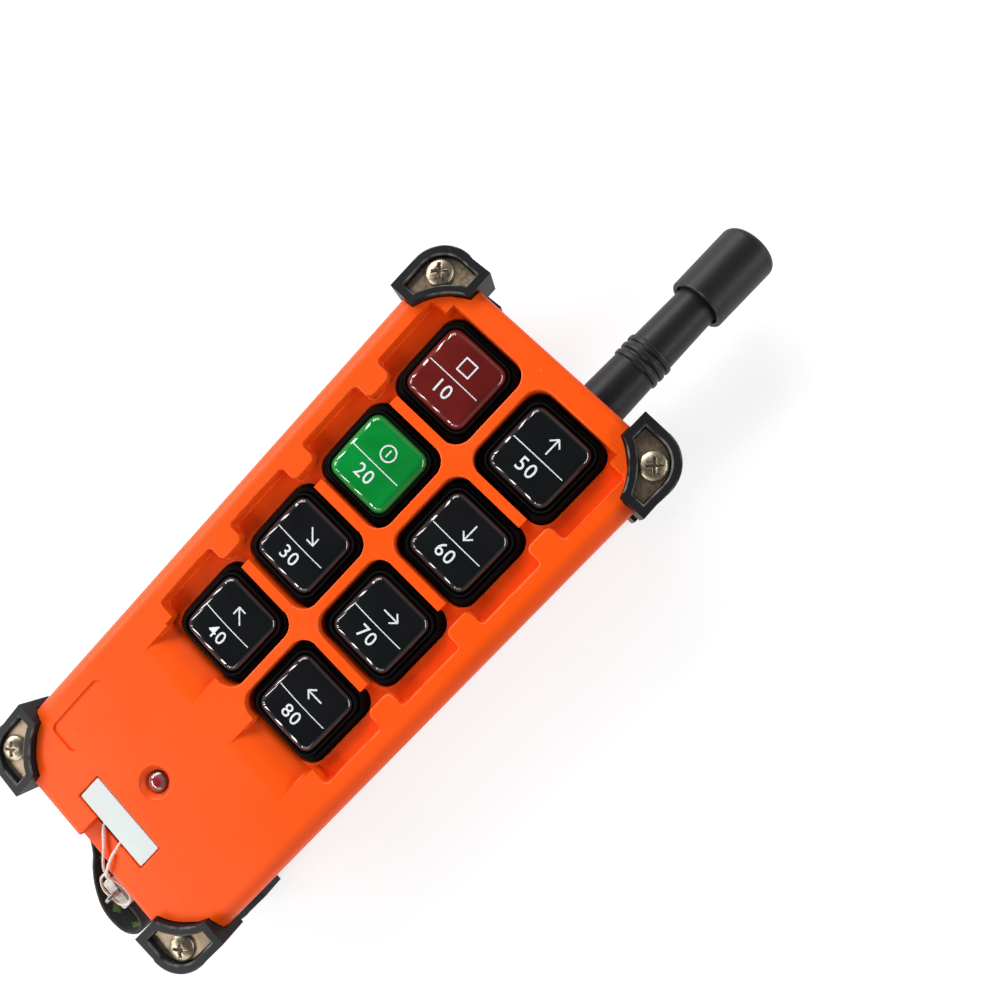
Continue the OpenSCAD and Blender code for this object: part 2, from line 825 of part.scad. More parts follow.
module guard_front_top_left() { color("dimgray") in_corner(1, 0) front_guard(); }
module guard_front_top_right() { color("dimgray") in_corner(0, 0) front_guard(); }
module guard_front_low_left() { color("dimgray") in_corner(1, 1) front_guard(); }
module guard_front_low_right() { color("dimgray") in_corner(0, 1) front_guard(); }
module guard_rear_top_left() { color("dimgray") in_corner(1, 0, 1) front_guard(); }
module guard_rear_top_right() { color("dimgray") in_corner(0, 0, 1) front_guard(); }
module guard_rear_low_left() { color("dimgray") in_corner(1, 1, 1) front_guard(); }
module guard_rear_low_right() { color("dimgray") in_corner(0, 1, 1) front_guard(); }

module in_four_corners(rear = 0) {
    for (side = [0, 1], end = [0, 1]) in_corner(side, end, rear) children();
}

module front_guard_plates() { color("silver") in_four_corners() guard_plate(); }
module rear_guard_plates() { color("silver") in_four_corners(1) guard_plate(); }
module front_guard_screws() { color("silver") in_four_corners() guard_screw(); }
module rear_guard_screws() { color("silver") in_four_corners(1) guard_screw(); }

module case_screws() {
    color("silver") at_case() corners([-case_screw_x, case_screw_x], case_screw_ys) difference() {
        union() {
            rod(case_screw_head_d, z_back, z_back + case_screw_head_t);
            rod(case_screw_d, z_back, z_back + case_screw_len);
        }
        for (turn = [0, 90]) rotate([0, 0, turn]) translate([0, 0, z_back])
            cube([case_screw_head_d * slot_len_share, case_slot_w, 2 * case_slot_depth], center = true);
    }
}

// Batteries and their contacts

module cell(side, turned) {
    color("steelblue") at_case() translate([0, cell_mid_y + side * cell_pitch * half, cell_z])
        rotate([0, turned * 90, 0]) {
            rod(cell_d, -cell_len * half, cell_len * half - stud_len);
            rod(stud_d, 0, cell_len * half);
        }
}

module battery_upper() { cell(1, 1); }
module battery_lower() { cell(-1, -1); }

// Each battery end has its own axis, turned outwards, that starts at the end of the cell
module at_cell_end(side, outwards) {
    at_case() translate([outwards * cell_len * half, cell_mid_y + side * cell_pitch * half, cell_z])
        rotate([0, outwards * 90, 0]) children();
}

// Springs press on the flat ends, plates touch the studs
module battery_springs() {
    color("silver") for (side = [-1, 1]) at_cell_end(side, -side) {
        rod(spring_plate_d, contact_room * (1 - plate_share), contact_room - slip);
        for (n = [0:1]) translate([0, 0, contact_room * ring_shares[n]]) rotate_extrude()
            translate([spring_r + spring_widening * n, 0]) circle(r = spring_wire_r, $fn = 16);
    }
}

module battery_contacts() {
    color("silver") for (side = [-1, 1]) at_cell_end(side, side) {
        rod(contact_stud_d, slip, contact_room - slip);
        block(contact_w, contact_w, contact_r, contact_room - slip - contact_t, contact_room - slip);
    }
}

// Battery door: turns about the rounded edge nearest the keypad
module battery_cover() {
    far = cell_mid_y - cover_len * half;
    color("orangered") at_case() difference() {
        union() {
            translate([-cover_w * half, far + cover_r, z_back])
                cube([cover_w, hinge_y - far - cover_r, wall_t]);
            translate([-cover_w * half + cover_r, far, z_back])
                cube([cover_w - 2 * cover_r, cover_r + over, wall_t]);
            for (x = [-1, 1]) translate([x * (cover_w * half - cover_r), far + cover_r, 0])
                rod(2 * cover_r, z_back, floor_z);
            translate([0, hinge_y, hinge_z]) rotate([0, 90, 0])
                cylinder(d = wall_t, h = cover_w, center = true);
        }
        // Grip ribs cut in the outside
        for (n = [0:grip_count - 1])
            translate([-grip_w * half, far + grip_from_edge + grip_pitch * n, z_back - over])
                cube([grip_w, grip_cut, over + grip_depth]);
    }
}

// Strap: string, clip and woven band, swept along routes of hand-chosen points

function smooth_at(p, i, t) =
    let (n = len(p) - 1,
         a = p[max(i - 1, 0)], b = p[i], c = p[min(i + 1, n)], d = p[min(i + 2, n)])
    half * (2 * b + (c - a) * t + (2 * a - 5 * b + 4 * c - d) * t * t + (3 * b - a - 3 * c + d) * t * t * t);
function smooth_route(p, steps) =
    [for (i = [0:len(p) - 2], s = [0:steps - 1]) smooth_at(p, i, s / steps), p[len(p) - 1]];
function unit(v) = v / norm(v);
function heading(p, i) = unit(p[min(i + 1, len(p) - 1)] - p[max(i - 1, 0)]);

// Sweeps a ring of [sideways, upward] offsets; sideways stays level
module sweep(path, ring) {
    sides = len(ring);
    rings = [for (i = [0:len(path) - 1])
        let (h = heading(path, i),
             level = norm([h.x, h.y]) == 0 ? [1, 0, 0] : unit([-h.y, h.x, 0]),
             up = cross(h, level))
        for (q = ring) path[i] + q.x * level + q.y * up];
    last = (len(path) - 1) * sides;
    walls = [for (i = [0:len(path) - 2], j = [0:sides - 1])
        let (k = (j + 1) % sides)
        [i * sides + j, i * sides + k, (i + 1) * sides + k, (i + 1) * sides + j]];
    polyhedron(
        points = rings,
        faces = concat([[for (j = [sides - 1:-1:0]) j]], walls, [[for (j = [0:sides - 1]) last + j]]),
        convexity = 6);
}

function round_ring(d, sides) = [for (j = [0:sides - 1]) d * half * [cos(360 * j / sides), sin(360 * j / sides)]];
function flat_ring(w, t) =
    let (x = t * half, y = w * half, c = t * edge_share)
    [[x, -y + c], [x, y - c], [x - c, y], [c - x, y], [-x, y - c], [-x, c - y], [c - x, -y], [x - c, -y]];

module strap_string() {
    color("mistyrose") at_case_end() sweep(smooth_route(string_route, 1), round_ring(string_d, 8));
}

module strap_band() {
    path = [for (p = smooth_route(band_route, 2)) [p.x, p.y, band_low + band_w * half]];
    color("black") at_case_end() sweep(path, flat_ring(band_w, band_t));
}

// A folded clip that grips both ends of the band, with an eye on top for the string
module strap_clip() {
    clip_top = band_low + band_w + clip_over;
    eye_z = clip_top + eye_d * half - eye_sink;
    color("silver") at_case_end() translate([clip_mid.x, clip_mid.y, 0]) {
        block(clip_w, clip_t, clip_r, band_low - slip, clip_top);
        difference() {
            translate([0, 0, eye_z]) rotate([0, 90, 0]) cylinder(d = eye_d, h = eye_t, center = true);
            translate([0, 0, eye_z]) rotate([0, 90, 0])
                cylinder(d = eye_hole_d, h = eye_t + over, center = true);
        }
    }
}

front_case();
rear_case();
case_seal();
keypad_mat();
key_stop();
key_start();
key_south();
key_north();
key_up();
key_down();
key_east();
key_west();
cap_stop();
cap_start();
cap_south();
cap_north();
cap_up();
cap_down();
cap_east();
cap_west();
circuit_board();
key_switches();
board_screws();
radio_module();
status_led();
led_lens();
label_plate();
strap_bar();
antenna_core();
antenna_sleeve();
antenna_shaft();
antenna_cap();
guard_front_top_left();
guard_front_top_right();
guard_front_low_left();
guard_front_low_right();
guard_rear_top_left();
guard_rear_top_right();
guard_rear_low_left();
guard_rear_low_right();
front_guard_plates();
rear_guard_plates();
front_guard_screws();
rear_guard_screws();
case_screws();
battery_upper();
battery_lower();
battery_springs();
battery_contacts();
battery_cover();
strap_string();
strap_clip();
strap_band();
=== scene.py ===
import json
import math

import bmesh
import bpy
from mathutils import Matrix, Vector
from mathutils.bvhtree import BVHTree
from mathutils.geometry import intersect_line_line_2d
from mathutils.kdtree import KDTree

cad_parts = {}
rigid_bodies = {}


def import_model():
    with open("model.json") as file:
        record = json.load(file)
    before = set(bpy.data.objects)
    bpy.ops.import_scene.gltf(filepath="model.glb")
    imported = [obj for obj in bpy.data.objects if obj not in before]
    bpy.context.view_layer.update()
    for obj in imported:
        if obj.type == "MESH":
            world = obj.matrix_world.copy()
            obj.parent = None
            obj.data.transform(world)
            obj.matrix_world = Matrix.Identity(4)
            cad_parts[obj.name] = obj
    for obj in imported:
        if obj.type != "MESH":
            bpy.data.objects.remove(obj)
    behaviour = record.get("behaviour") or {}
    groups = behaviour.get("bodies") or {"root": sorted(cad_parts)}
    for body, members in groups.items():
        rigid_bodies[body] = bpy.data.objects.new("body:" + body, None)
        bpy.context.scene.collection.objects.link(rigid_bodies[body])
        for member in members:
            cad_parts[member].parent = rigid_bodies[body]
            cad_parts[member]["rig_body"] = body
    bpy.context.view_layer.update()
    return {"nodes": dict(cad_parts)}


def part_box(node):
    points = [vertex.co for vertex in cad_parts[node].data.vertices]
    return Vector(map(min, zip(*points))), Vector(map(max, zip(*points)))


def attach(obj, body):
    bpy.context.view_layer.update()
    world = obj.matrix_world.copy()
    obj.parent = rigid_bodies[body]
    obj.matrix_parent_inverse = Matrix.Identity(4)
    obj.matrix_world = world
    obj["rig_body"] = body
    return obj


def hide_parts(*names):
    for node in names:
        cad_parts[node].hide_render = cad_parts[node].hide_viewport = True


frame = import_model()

# Sizes are in millimetres, as on the part's drawings, and MM turns them into metres.
# +X runs across the keypad to the right, +Y points to the antenna, +Z is the key side.
MM = 0.001
NODES = frame["nodes"]
# Each key with the number printed on its cap
KEYS = {
    "stop": "10", "start": "20", "south": "30", "north": "40",
    "up": "50", "down": "60", "east": "70", "west": "80",
}
scene = bpy.context.scene
scene.view_settings.view_transform = "Standard"


def box_mm(cad_node):
    """A node's lowest and highest corners in millimetres."""
    return [[round(value / MM, 3) for value in corner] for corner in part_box(cad_node)]


REAR_LOW, REAR_HIGH = box_mm("rear_case")
CASE_W = REAR_HIGH[0] - REAR_LOW[0]
CASE_MID_Y = (REAR_LOW[1] + REAR_HIGH[1]) / 2
# The end face of the case at the strap, and the plane where the halves of the case meet
END_Y, SEAM_Z = REAR_LOW[1], REAR_HIGH[2]


# Camera

# Where the camera stands, in metres, and where the right side and the back of its picture face
VIEW_FROM = (0.02831, 0.02862, 0.16624)
VIEW_RIGHT = (0.7073, 0.6832, -0.1818)
VIEW_BACK = (0.1428, 0.1138, 0.9832)


def place_camera():
    """The photograph's viewing angle and framing."""
    lens = bpy.data.cameras.new("view")
    lens.sensor_width = 36
    lens.lens = 25.2
    lens.shift_x = 0.0554
    lens.shift_y = 0.0314
    lens.clip_start = 0.005
    camera = bpy.data.objects.new("view", lens)
    scene.collection.objects.link(camera)
    right = Vector(VIEW_RIGHT).normalized()
    back = Vector(VIEW_BACK).normalized()
    upward = back.cross(right).normalized()
    turn = Matrix((right, upward, back)).transposed().to_4x4()
    camera.matrix_world = Matrix.Translation(VIEW_FROM) @ turn
    scene.camera = camera


place_camera()


# Node helpers

def new_finish(name):
    """A material with a Principled shader, as (material, tree, shader, object coordinates)."""
    finish = bpy.data.materials.new(name)
    finish.use_nodes = True
    tree = finish.node_tree
    shader = tree.nodes["Principled BSDF"]
    place = tree.nodes.new("ShaderNodeTexCoord").outputs["Object"]
    return finish, tree, shader, place


def wire(tree, target, value):
    """Links an output to a socket, or sets the socket to a plain value."""
    if isinstance(value, bpy.types.NodeSocket):
        tree.links.new(value, target)
    elif isinstance(value, tuple) and len(value) == 3 and target.type == "RGBA":
        target.default_value = (*value, 1)
    else:
        target.default_value = value


def feed(tree, target, inputs):
    """Wires several inputs of a node, given by name or number."""
    for key, value in inputs.items():
        wire(tree, target.inputs[key], value)


def node(tree, kind, inputs=None, **settings):
    """A new shader node with its settings and inputs."""
    made = tree.nodes.new(kind)
    for key, value in settings.items():
        setattr(made, key, value)
    feed(tree, made, inputs or {})
    return made


def maths(tree, operation, a, b=0.0, c=0.0):
    """The result of a Math node."""
    return node(tree, "ShaderNodeMath", {0: a, 1: b, 2: c}, operation=operation).outputs[0]


def noise(tree, vector, scale, detail):
    """Fractal noise about 0.5, with its scale per metre."""
    inputs = {"Vector": vector, "Scale": scale, "Detail": detail}
    return node(tree, "ShaderNodeTexNoise", inputs).outputs["Fac"]


def blend_colour(tree, share, a, b, mode="MIX"):
    """Mixes two colours. The node's colour sockets are its inputs 6 and 7 and its output 2."""
    made = node(tree, "ShaderNodeMix", data_type="RGBA", blend_type=mode)
    feed(tree, made, {0: share, 6: a, 7: b})
    return made.outputs[2]


def spread(tree, value, low, high, to_low=0.0, to_high=1.0):
    """Maps low..high of a value to to_low..to_high, clamped."""
    inputs = {0: value, 1: low, 2: high, 3: to_low, 4: to_high}
    return node(tree, "ShaderNodeMapRange", inputs).outputs[0]


def mesh_mask(tree, name):
    """A mask from 0 to 1 that the mesh carries."""
    return node(tree, "ShaderNodeAttribute", attribute_name=name).outputs["Fac"]


def new_group(name, inputs, outputs):
    """A node group, as (tree, its given values, its output node)."""
    tree = bpy.data.node_groups.new(name, "ShaderNodeTree")
    for label, kind, value in inputs:
        socket = tree.interface.new_socket(label, in_out="INPUT", socket_type=kind)
        if value is not None:
            socket.default_value = value
    for label, kind in outputs:
        tree.interface.new_socket(label, in_out="OUTPUT", socket_type=kind)
    return tree, tree.nodes.new("NodeGroupInput").outputs, tree.nodes.new("NodeGroupOutput")


def use_group(tree, group, **inputs):
    """Places a group in a tree, and gives its outputs."""
    return node(tree, "ShaderNodeGroup", inputs, node_tree=group).outputs


def bump(tree, shader, height, strength, depth):
    """Raises the surface by a height from 0 to 1, with a depth in millimetres."""
    relief = {"Height": height, "Strength": strength, "Distance": depth * MM}
    wire(tree, shader.inputs["Normal"], node(tree, "ShaderNodeBump", relief).outputs[0])


# Shared effects

def grain_group():
    """Moulded skin: a fine height, a slow mottle and sparse specks of dust."""
    tree, given, out = new_group(
        "moulded_grain",
        [("Vector", "NodeSocketVector", None), ("Scale", "NodeSocketFloat", 1800.0)],
        [("Height", "NodeSocketFloat"), ("Mottle", "NodeSocketFloat"), ("Specks", "NodeSocketFloat")],
    )
    dots = node(tree, "ShaderNodeTexVoronoi", {"Vector": given["Vector"], "Scale": 420.0})
    near = spread(tree, dots.outputs["Distance"], 0.05, 0.11, 1.0, 0.0)
    rare = spread(tree, noise(tree, given["Vector"], 160.0, 1.0), 0.6, 0.66)
    feed(tree, out, {
        "Height": noise(tree, given["Vector"], given["Scale"], 3.0),
        "Mottle": noise(tree, given["Vector"], 55.0, 4.0),
        "Specks": maths(tree, "MULTIPLY", near, rare),
    })
    return tree


def edge_wear_and_highlight_group():
    """Lighter edges, from rubbing and as a painted highlight: the mask is 1 on an edge's rounding, and
    noise breaks it up.
    """
    tree, given, out = new_group(
        "edge_wear_and_highlight",
        [("Mask", "NodeSocketFloat", 0.0), ("Vector", "NodeSocketVector", None),
         ("Base", "NodeSocketColor", (0.1, 0.1, 0.1, 1)), ("Worn", "NodeSocketColor", (0.4, 0.4, 0.4, 1)),
         ("Amount", "NodeSocketFloat", 0.5)],
        [("Color", "NodeSocketColor"), ("Wear_and_highlight", "NodeSocketFloat")],
    )
    broken = spread(tree, noise(tree, given["Vector"], 380.0, 5.0), 0.38, 0.62)
    # Share of the lighter colour on the roundings, for rubbing and a painted highlight
    worn_and_highlit = maths(tree, "MULTIPLY", maths(tree, "MULTIPLY", given["Mask"], broken), given["Amount"])
    feed(tree, out, {"Color": blend_colour(tree, worn_and_highlit, given["Base"], given["Worn"]), "Wear_and_highlight": worn_and_highlit})
    return tree


def weave_group():
    """Over-and-under threads: U and V are millimetres along and across a strip."""
    tree, given, out = new_group(
        "weave",
        [("U", "NodeSocketFloat", 0.0), ("V", "NodeSocketFloat", 0.0), ("Pitch", "NodeSocketFloat", 0.6)],
        [("Height", "NodeSocketFloat")],
    )
    waves = []
    for way in ("U", "V"):
        threads = maths(tree, "DIVIDE", given[way], given["Pitch"])
        waves.append(maths(tree, "SINE", maths(tree, "MULTIPLY", threads, math.pi)))
    wire(tree, out.inputs["Height"], maths(tree, "ABSOLUTE", maths(tree, "MULTIPLY", *waves)))
    return tree


GRAIN = grain_group()
EDGE_WEAR_AND_HIGHLIGHT = edge_wear_and_highlight_group()
WEAVE = weave_group()


# Finishes

# Half the width of the dark line in the case's seam, and where it has faded
SEAM_LINE, SEAM_FADED = 0.04, 0.14
# How much the groove outweighs the grain's height, and how far roughness strays and rises with wear
SEAM_DEPTH, ROUGH_CHANGE, WORN_ROUGHER = 3.0, 0.06, 0.12


def seam_line(tree, place):
    """1 in the fine groove where the case halves meet, 0 away from it."""
    height = node(tree, "ShaderNodeSeparateXYZ", {0: place}).outputs["Z"]
    gap = maths(tree, "ABSOLUTE", maths(tree, "SUBTRACT", height, SEAM_Z * MM))
    return spread(tree, gap, SEAM_LINE * MM, SEAM_FADED * MM, 1.0, 0.0)


def worn_plastic(name, base, worn_and_highlit, wear_and_highlight, rough, grain_scale, grain_depth, mottle=0.06, coat=0.0,
                 dust=(0.75, 0.72, 0.7), dust_share=0.12, gloss=0.5, seam=None):
    """Moulded plastic or rubber: grain, slow colour change, dust, rubbed edges lightened also as a painted
    highlight, and the seam's colour.
    """
    finish, tree, shader, place = new_finish(name)
    skin = use_group(tree, GRAIN, Vector=place, Scale=grain_scale)
    deep = tuple(c * (1 - mottle * 2) for c in base)
    high = tuple(min(1.0, c * (1 + mottle)) for c in base)
    tone = blend_colour(tree, spread(tree, skin["Mottle"], 0.35, 0.65), deep, high)
    edge = use_group(tree, EDGE_WEAR_AND_HIGHLIGHT, Mask=mesh_mask(tree, "edge"), Vector=place, Base=tone, Worn=worn_and_highlit,
                     Amount=wear_and_highlight)
    specks = maths(tree, "MULTIPLY", skin["Specks"], dust_share)
    colour = blend_colour(tree, specks, edge["Color"], dust)
    height = skin["Height"]
    if seam:
        groove = seam_line(tree, place)
        colour = blend_colour(tree, groove, colour, seam)
        height = maths(tree, "MULTIPLY_ADD", groove, -SEAM_DEPTH, height)
    uneven = spread(tree, skin["Mottle"], 0.3, 0.7, rough - ROUGH_CHANGE, rough + ROUGH_CHANGE)
    feed(tree, shader, {
        "Base Color": colour,
        "Roughness": maths(tree, "MULTIPLY_ADD", edge["Wear_and_highlight"], WORN_ROUGHER, uneven),
        "Specular IOR Level": gloss,
        "Coat Weight": coat,
        "Coat Roughness": 0.25,
    })
    bump(tree, shader, height, 0.35, grain_depth)
    return finish


def cap_resin(name, base, glow, side):
    """Key face under a thick clear dome: deep colour, darker sides, wet gloss and faint ripples."""
    finish, tree, shader, place = new_finish(name)
    tone = blend_colour(tree, spread(tree, noise(tree, place, 140.0, 2.0), 0.35, 0.65), base, glow)
    flank = spread(tree, mesh_mask(tree, "flank"), 0.15, 0.75)
    feed(tree, shader, {
        "Base Color": blend_colour(tree, flank, tone, side),
        "Roughness": spread(tree, noise(tree, place, 900.0, 4.0), 0.4, 0.7, 0.04, 0.1),
        "Specular IOR Level": 0.2,
        "Coat Weight": 1.0,
        "Coat Roughness": 0.03,
    })
    bump(tree, shader, noise(tree, place, 170.0, 0.0), 0.2, 0.06)
    return finish


def plated_metal(name, base, dark, rough, streaks=(1.0, 1.0, 1.0), depth=0.02, wear_and_highlight=0.0):
    """Plated sheet or screw metal: fine lines or pits, stains and rubbed edges, lightened also as a
    painted highlight.
    """
    finish, tree, shader, place = new_finish(name)
    stretched = node(tree, "ShaderNodeMapping", {"Vector": place, "Scale": streaks}).outputs[0]
    lines = noise(tree, stretched, 1500.0, 4.0)
    tone = blend_colour(tree, spread(tree, noise(tree, place, 260.0, 5.0), 0.42, 0.68), base, dark)
    edge = use_group(tree, EDGE_WEAR_AND_HIGHLIGHT, Mask=mesh_mask(tree, "edge"), Vector=place, Base=tone,
                     Worn=(0.9, 0.88, 0.84), Amount=wear_and_highlight)
    feed(tree, shader, {
        "Base Color": edge["Color"],
        "Metallic": 1.0,
        "Roughness": spread(tree, lines, 0.3, 0.7, rough * 0.75, rough * 1.3),
    })
    bump(tree, shader, lines, 0.4, depth)
    return finish


def label_film():
    """White film in the label's recess, with grey specks."""
    grey_white, white, speck = (0.60, 0.645, 0.635), (0.66, 0.70, 0.69), (0.5, 0.53, 0.54)
    finish, tree, shader, place = new_finish("label_film")
    skin = use_group(tree, GRAIN, Vector=place, Scale=900.0)
    tone = blend_colour(tree, spread(tree, skin["Mottle"], 0.3, 0.7), grey_white, white)
    feed(tree, shader, {
        "Base Color": blend_colour(tree, skin["Specks"], tone, speck),
        "Roughness": spread(tree, skin["Mottle"], 0.3, 0.7, 0.38, 0.5),
    })
    bump(tree, shader, skin["Height"], 0.2, 0.02)
    return finish


def print_ink():
    """White print seen through the dome, a little uneven."""
    thin, full = (0.62, 0.66, 0.68), (0.82, 0.85, 0.86)
    finish, tree, shader, place = new_finish("white_print")
    skin = use_group(tree, GRAIN, Vector=place, Scale=2500.0)
    feed(tree, shader, {
        "Base Color": blend_colour(tree, spread(tree, skin["Height"], 0.35, 0.6), thin, full),
        "Roughness": spread(tree, skin["Mottle"], 0.3, 0.7, 0.1, 0.2),
        "Coat Weight": 1.0,
        "Coat Roughness": 0.05,
    })
    return finish


def lamp_lens():
    """Clear red dome: the crimson lamp behind it, a pale band painted in as sheen where the moulding
    turns, a brown rim.
    """
    crimson, pale, brown = (0.36, 0.016, 0.028), (0.30, 0.11, 0.10), (0.055, 0.012, 0.008)
    finish, tree, shader, place = new_finish("lamp_lens")
    low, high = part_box("led_lens")
    middle = ((low[0] + high[0]) / 2, (low[1] + high[1]) / 2, 0.0)
    radius = (high[0] - low[0]) / 2
    level = node(tree, "ShaderNodeMapping", {"Vector": place, "Scale": (1.0, 1.0, 0.0)}).outputs[0]
    reach = node(tree, "ShaderNodeVectorMath", {0: level, 1: middle}, operation="DISTANCE")
    blur = noise(tree, place, 600.0, 2.0)
    away = maths(tree, "MULTIPLY_ADD", blur, 0.15, maths(tree, "DIVIDE", reach.outputs["Value"], radius))
    # The pale band is a painted sheen in a ring round the dome
    dome = blend_colour(tree, spread(tree, away, 0.5, 0.68), crimson, pale)
    feed(tree, shader, {
        "Base Color": blend_colour(tree, spread(tree, away, 0.82, 0.95), dome, brown),
        "Roughness": spread(tree, blur, 0.3, 0.7, 0.03, 0.08),
        "Transmission Weight": 0.25,
        "IOR": 1.5,
        "Coat Weight": 1.0,
        "Coat Roughness": 0.03,
    })
    return finish


def cloth_uv(tree):
    """The strap's own UV map, as its two outputs."""
    uv = node(tree, "ShaderNodeUVMap", uv_map="cloth").outputs[0]
    split = node(tree, "ShaderNodeSeparateXYZ", {0: uv})
    return split.outputs[0], split.outputs[1]


def braided_cord():
    """Pale twisted string: U is millimetres along, V turns once round the cord."""
    shadow, thread = (0.66, 0.52, 0.46), (0.84, 0.73, 0.67)
    turns_per_mm, plies = 1.1, 3.0
    finish, tree, shader, place = new_finish("pale_string")
    along, around = cloth_uv(tree)
    slant = maths(tree, "MULTIPLY_ADD", along, turns_per_mm, maths(tree, "MULTIPLY", around, plies))
    ply = maths(tree, "ABSOLUTE", maths(tree, "SINE", maths(tree, "MULTIPLY", slant, math.pi)))
    fuzz = node(tree, "ShaderNodeTexNoise", {"Vector": place, "Scale": 2600.0, "Detail": 4.0}).outputs
    tone = blend_colour(tree, spread(tree, ply, 0.0, 0.5), shadow, thread)
    feed(tree, shader, {
        "Base Color": blend_colour(tree, 0.25, tone, fuzz["Color"], "SOFT_LIGHT"),
        "Roughness": spread(tree, fuzz["Fac"], 0.3, 0.7, 0.55, 0.8),
        "Sheen Weight": 0.3,
    })
    bump(tree, shader, maths(tree, "MULTIPLY_ADD", fuzz["Fac"], 0.3, ply), 0.5, 0.06)
    return finish


# Lozenges woven into the band: their pitch along it, and how far their two rows lie off its middle
LOZENGE_PITCH, LOZENGE_ROW = 7.0, 2.5


def woven_band():
    """Black webbing with a row of small two-colour lozenges on each side of its middle."""
    black, orange = (0.010, 0.010, 0.011), (0.9, 0.22, 0.02)
    yellow, green = (0.50, 0.50, 0.05), (0.13, 0.40, 0.06)
    finish, tree, shader, place = new_finish("woven_band")
    along, across = cloth_uv(tree)
    threads = use_group(tree, WEAVE, U=along, V=across, Pitch=0.55)["Height"]
    cell = maths(tree, "SUBTRACT", maths(tree, "FRACT", maths(tree, "DIVIDE", along, LOZENGE_PITCH)), 0.5)
    reach = maths(tree, "MULTIPLY", maths(tree, "ABSOLUTE", cell), LOZENGE_PITCH)
    row = maths(tree, "ABSOLUTE", maths(tree, "SUBTRACT", maths(tree, "ABSOLUTE", across), LOZENGE_ROW))
    away = maths(tree, "ADD", reach, row)
    rim = blend_colour(tree, spread(tree, across, -0.2, 0.2), yellow, green)
    lozenge = blend_colour(tree, spread(tree, away, 0.5, 0.65, 1.0, 0.0), rim, orange)
    tone = blend_colour(tree, spread(tree, away, 1.45, 1.65, 1.0, 0.0), black, lozenge)
    shade = spread(tree, threads, 0.0, 0.6, 0.35, 1.0)
    fuzz = noise(tree, place, 2200.0, 3.0)
    feed(tree, shader, {
        "Base Color": blend_colour(tree, 1.0, tone, shade, "MULTIPLY"),
        "Roughness": spread(tree, fuzz, 0.3, 0.7, 0.6, 0.85),
        "Sheen Weight": 0.25,
    })
    bump(tree, shader, maths(tree, "MULTIPLY_ADD", fuzz, 0.3, threads), 0.8, 0.15)
    return finish


def board_finish():
    """Green solder mask, a little lighter over the copper runs."""
    finish, tree, shader, place = new_finish("solder_mask")
    runs = node(tree, "ShaderNodeTexBrick", {
        "Vector": place, "Scale": 240.0,
        "Color1": (0.01, 0.14, 0.04), "Color2": (0.02, 0.2, 0.06), "Mortar": (0.03, 0.26, 0.09),
    })
    feed(tree, shader, {
        "Base Color": runs.outputs["Color"],
        "Roughness": spread(tree, noise(tree, place, 700.0, 2.0), 0.3, 0.7, 0.25, 0.4),
    })
    return finish


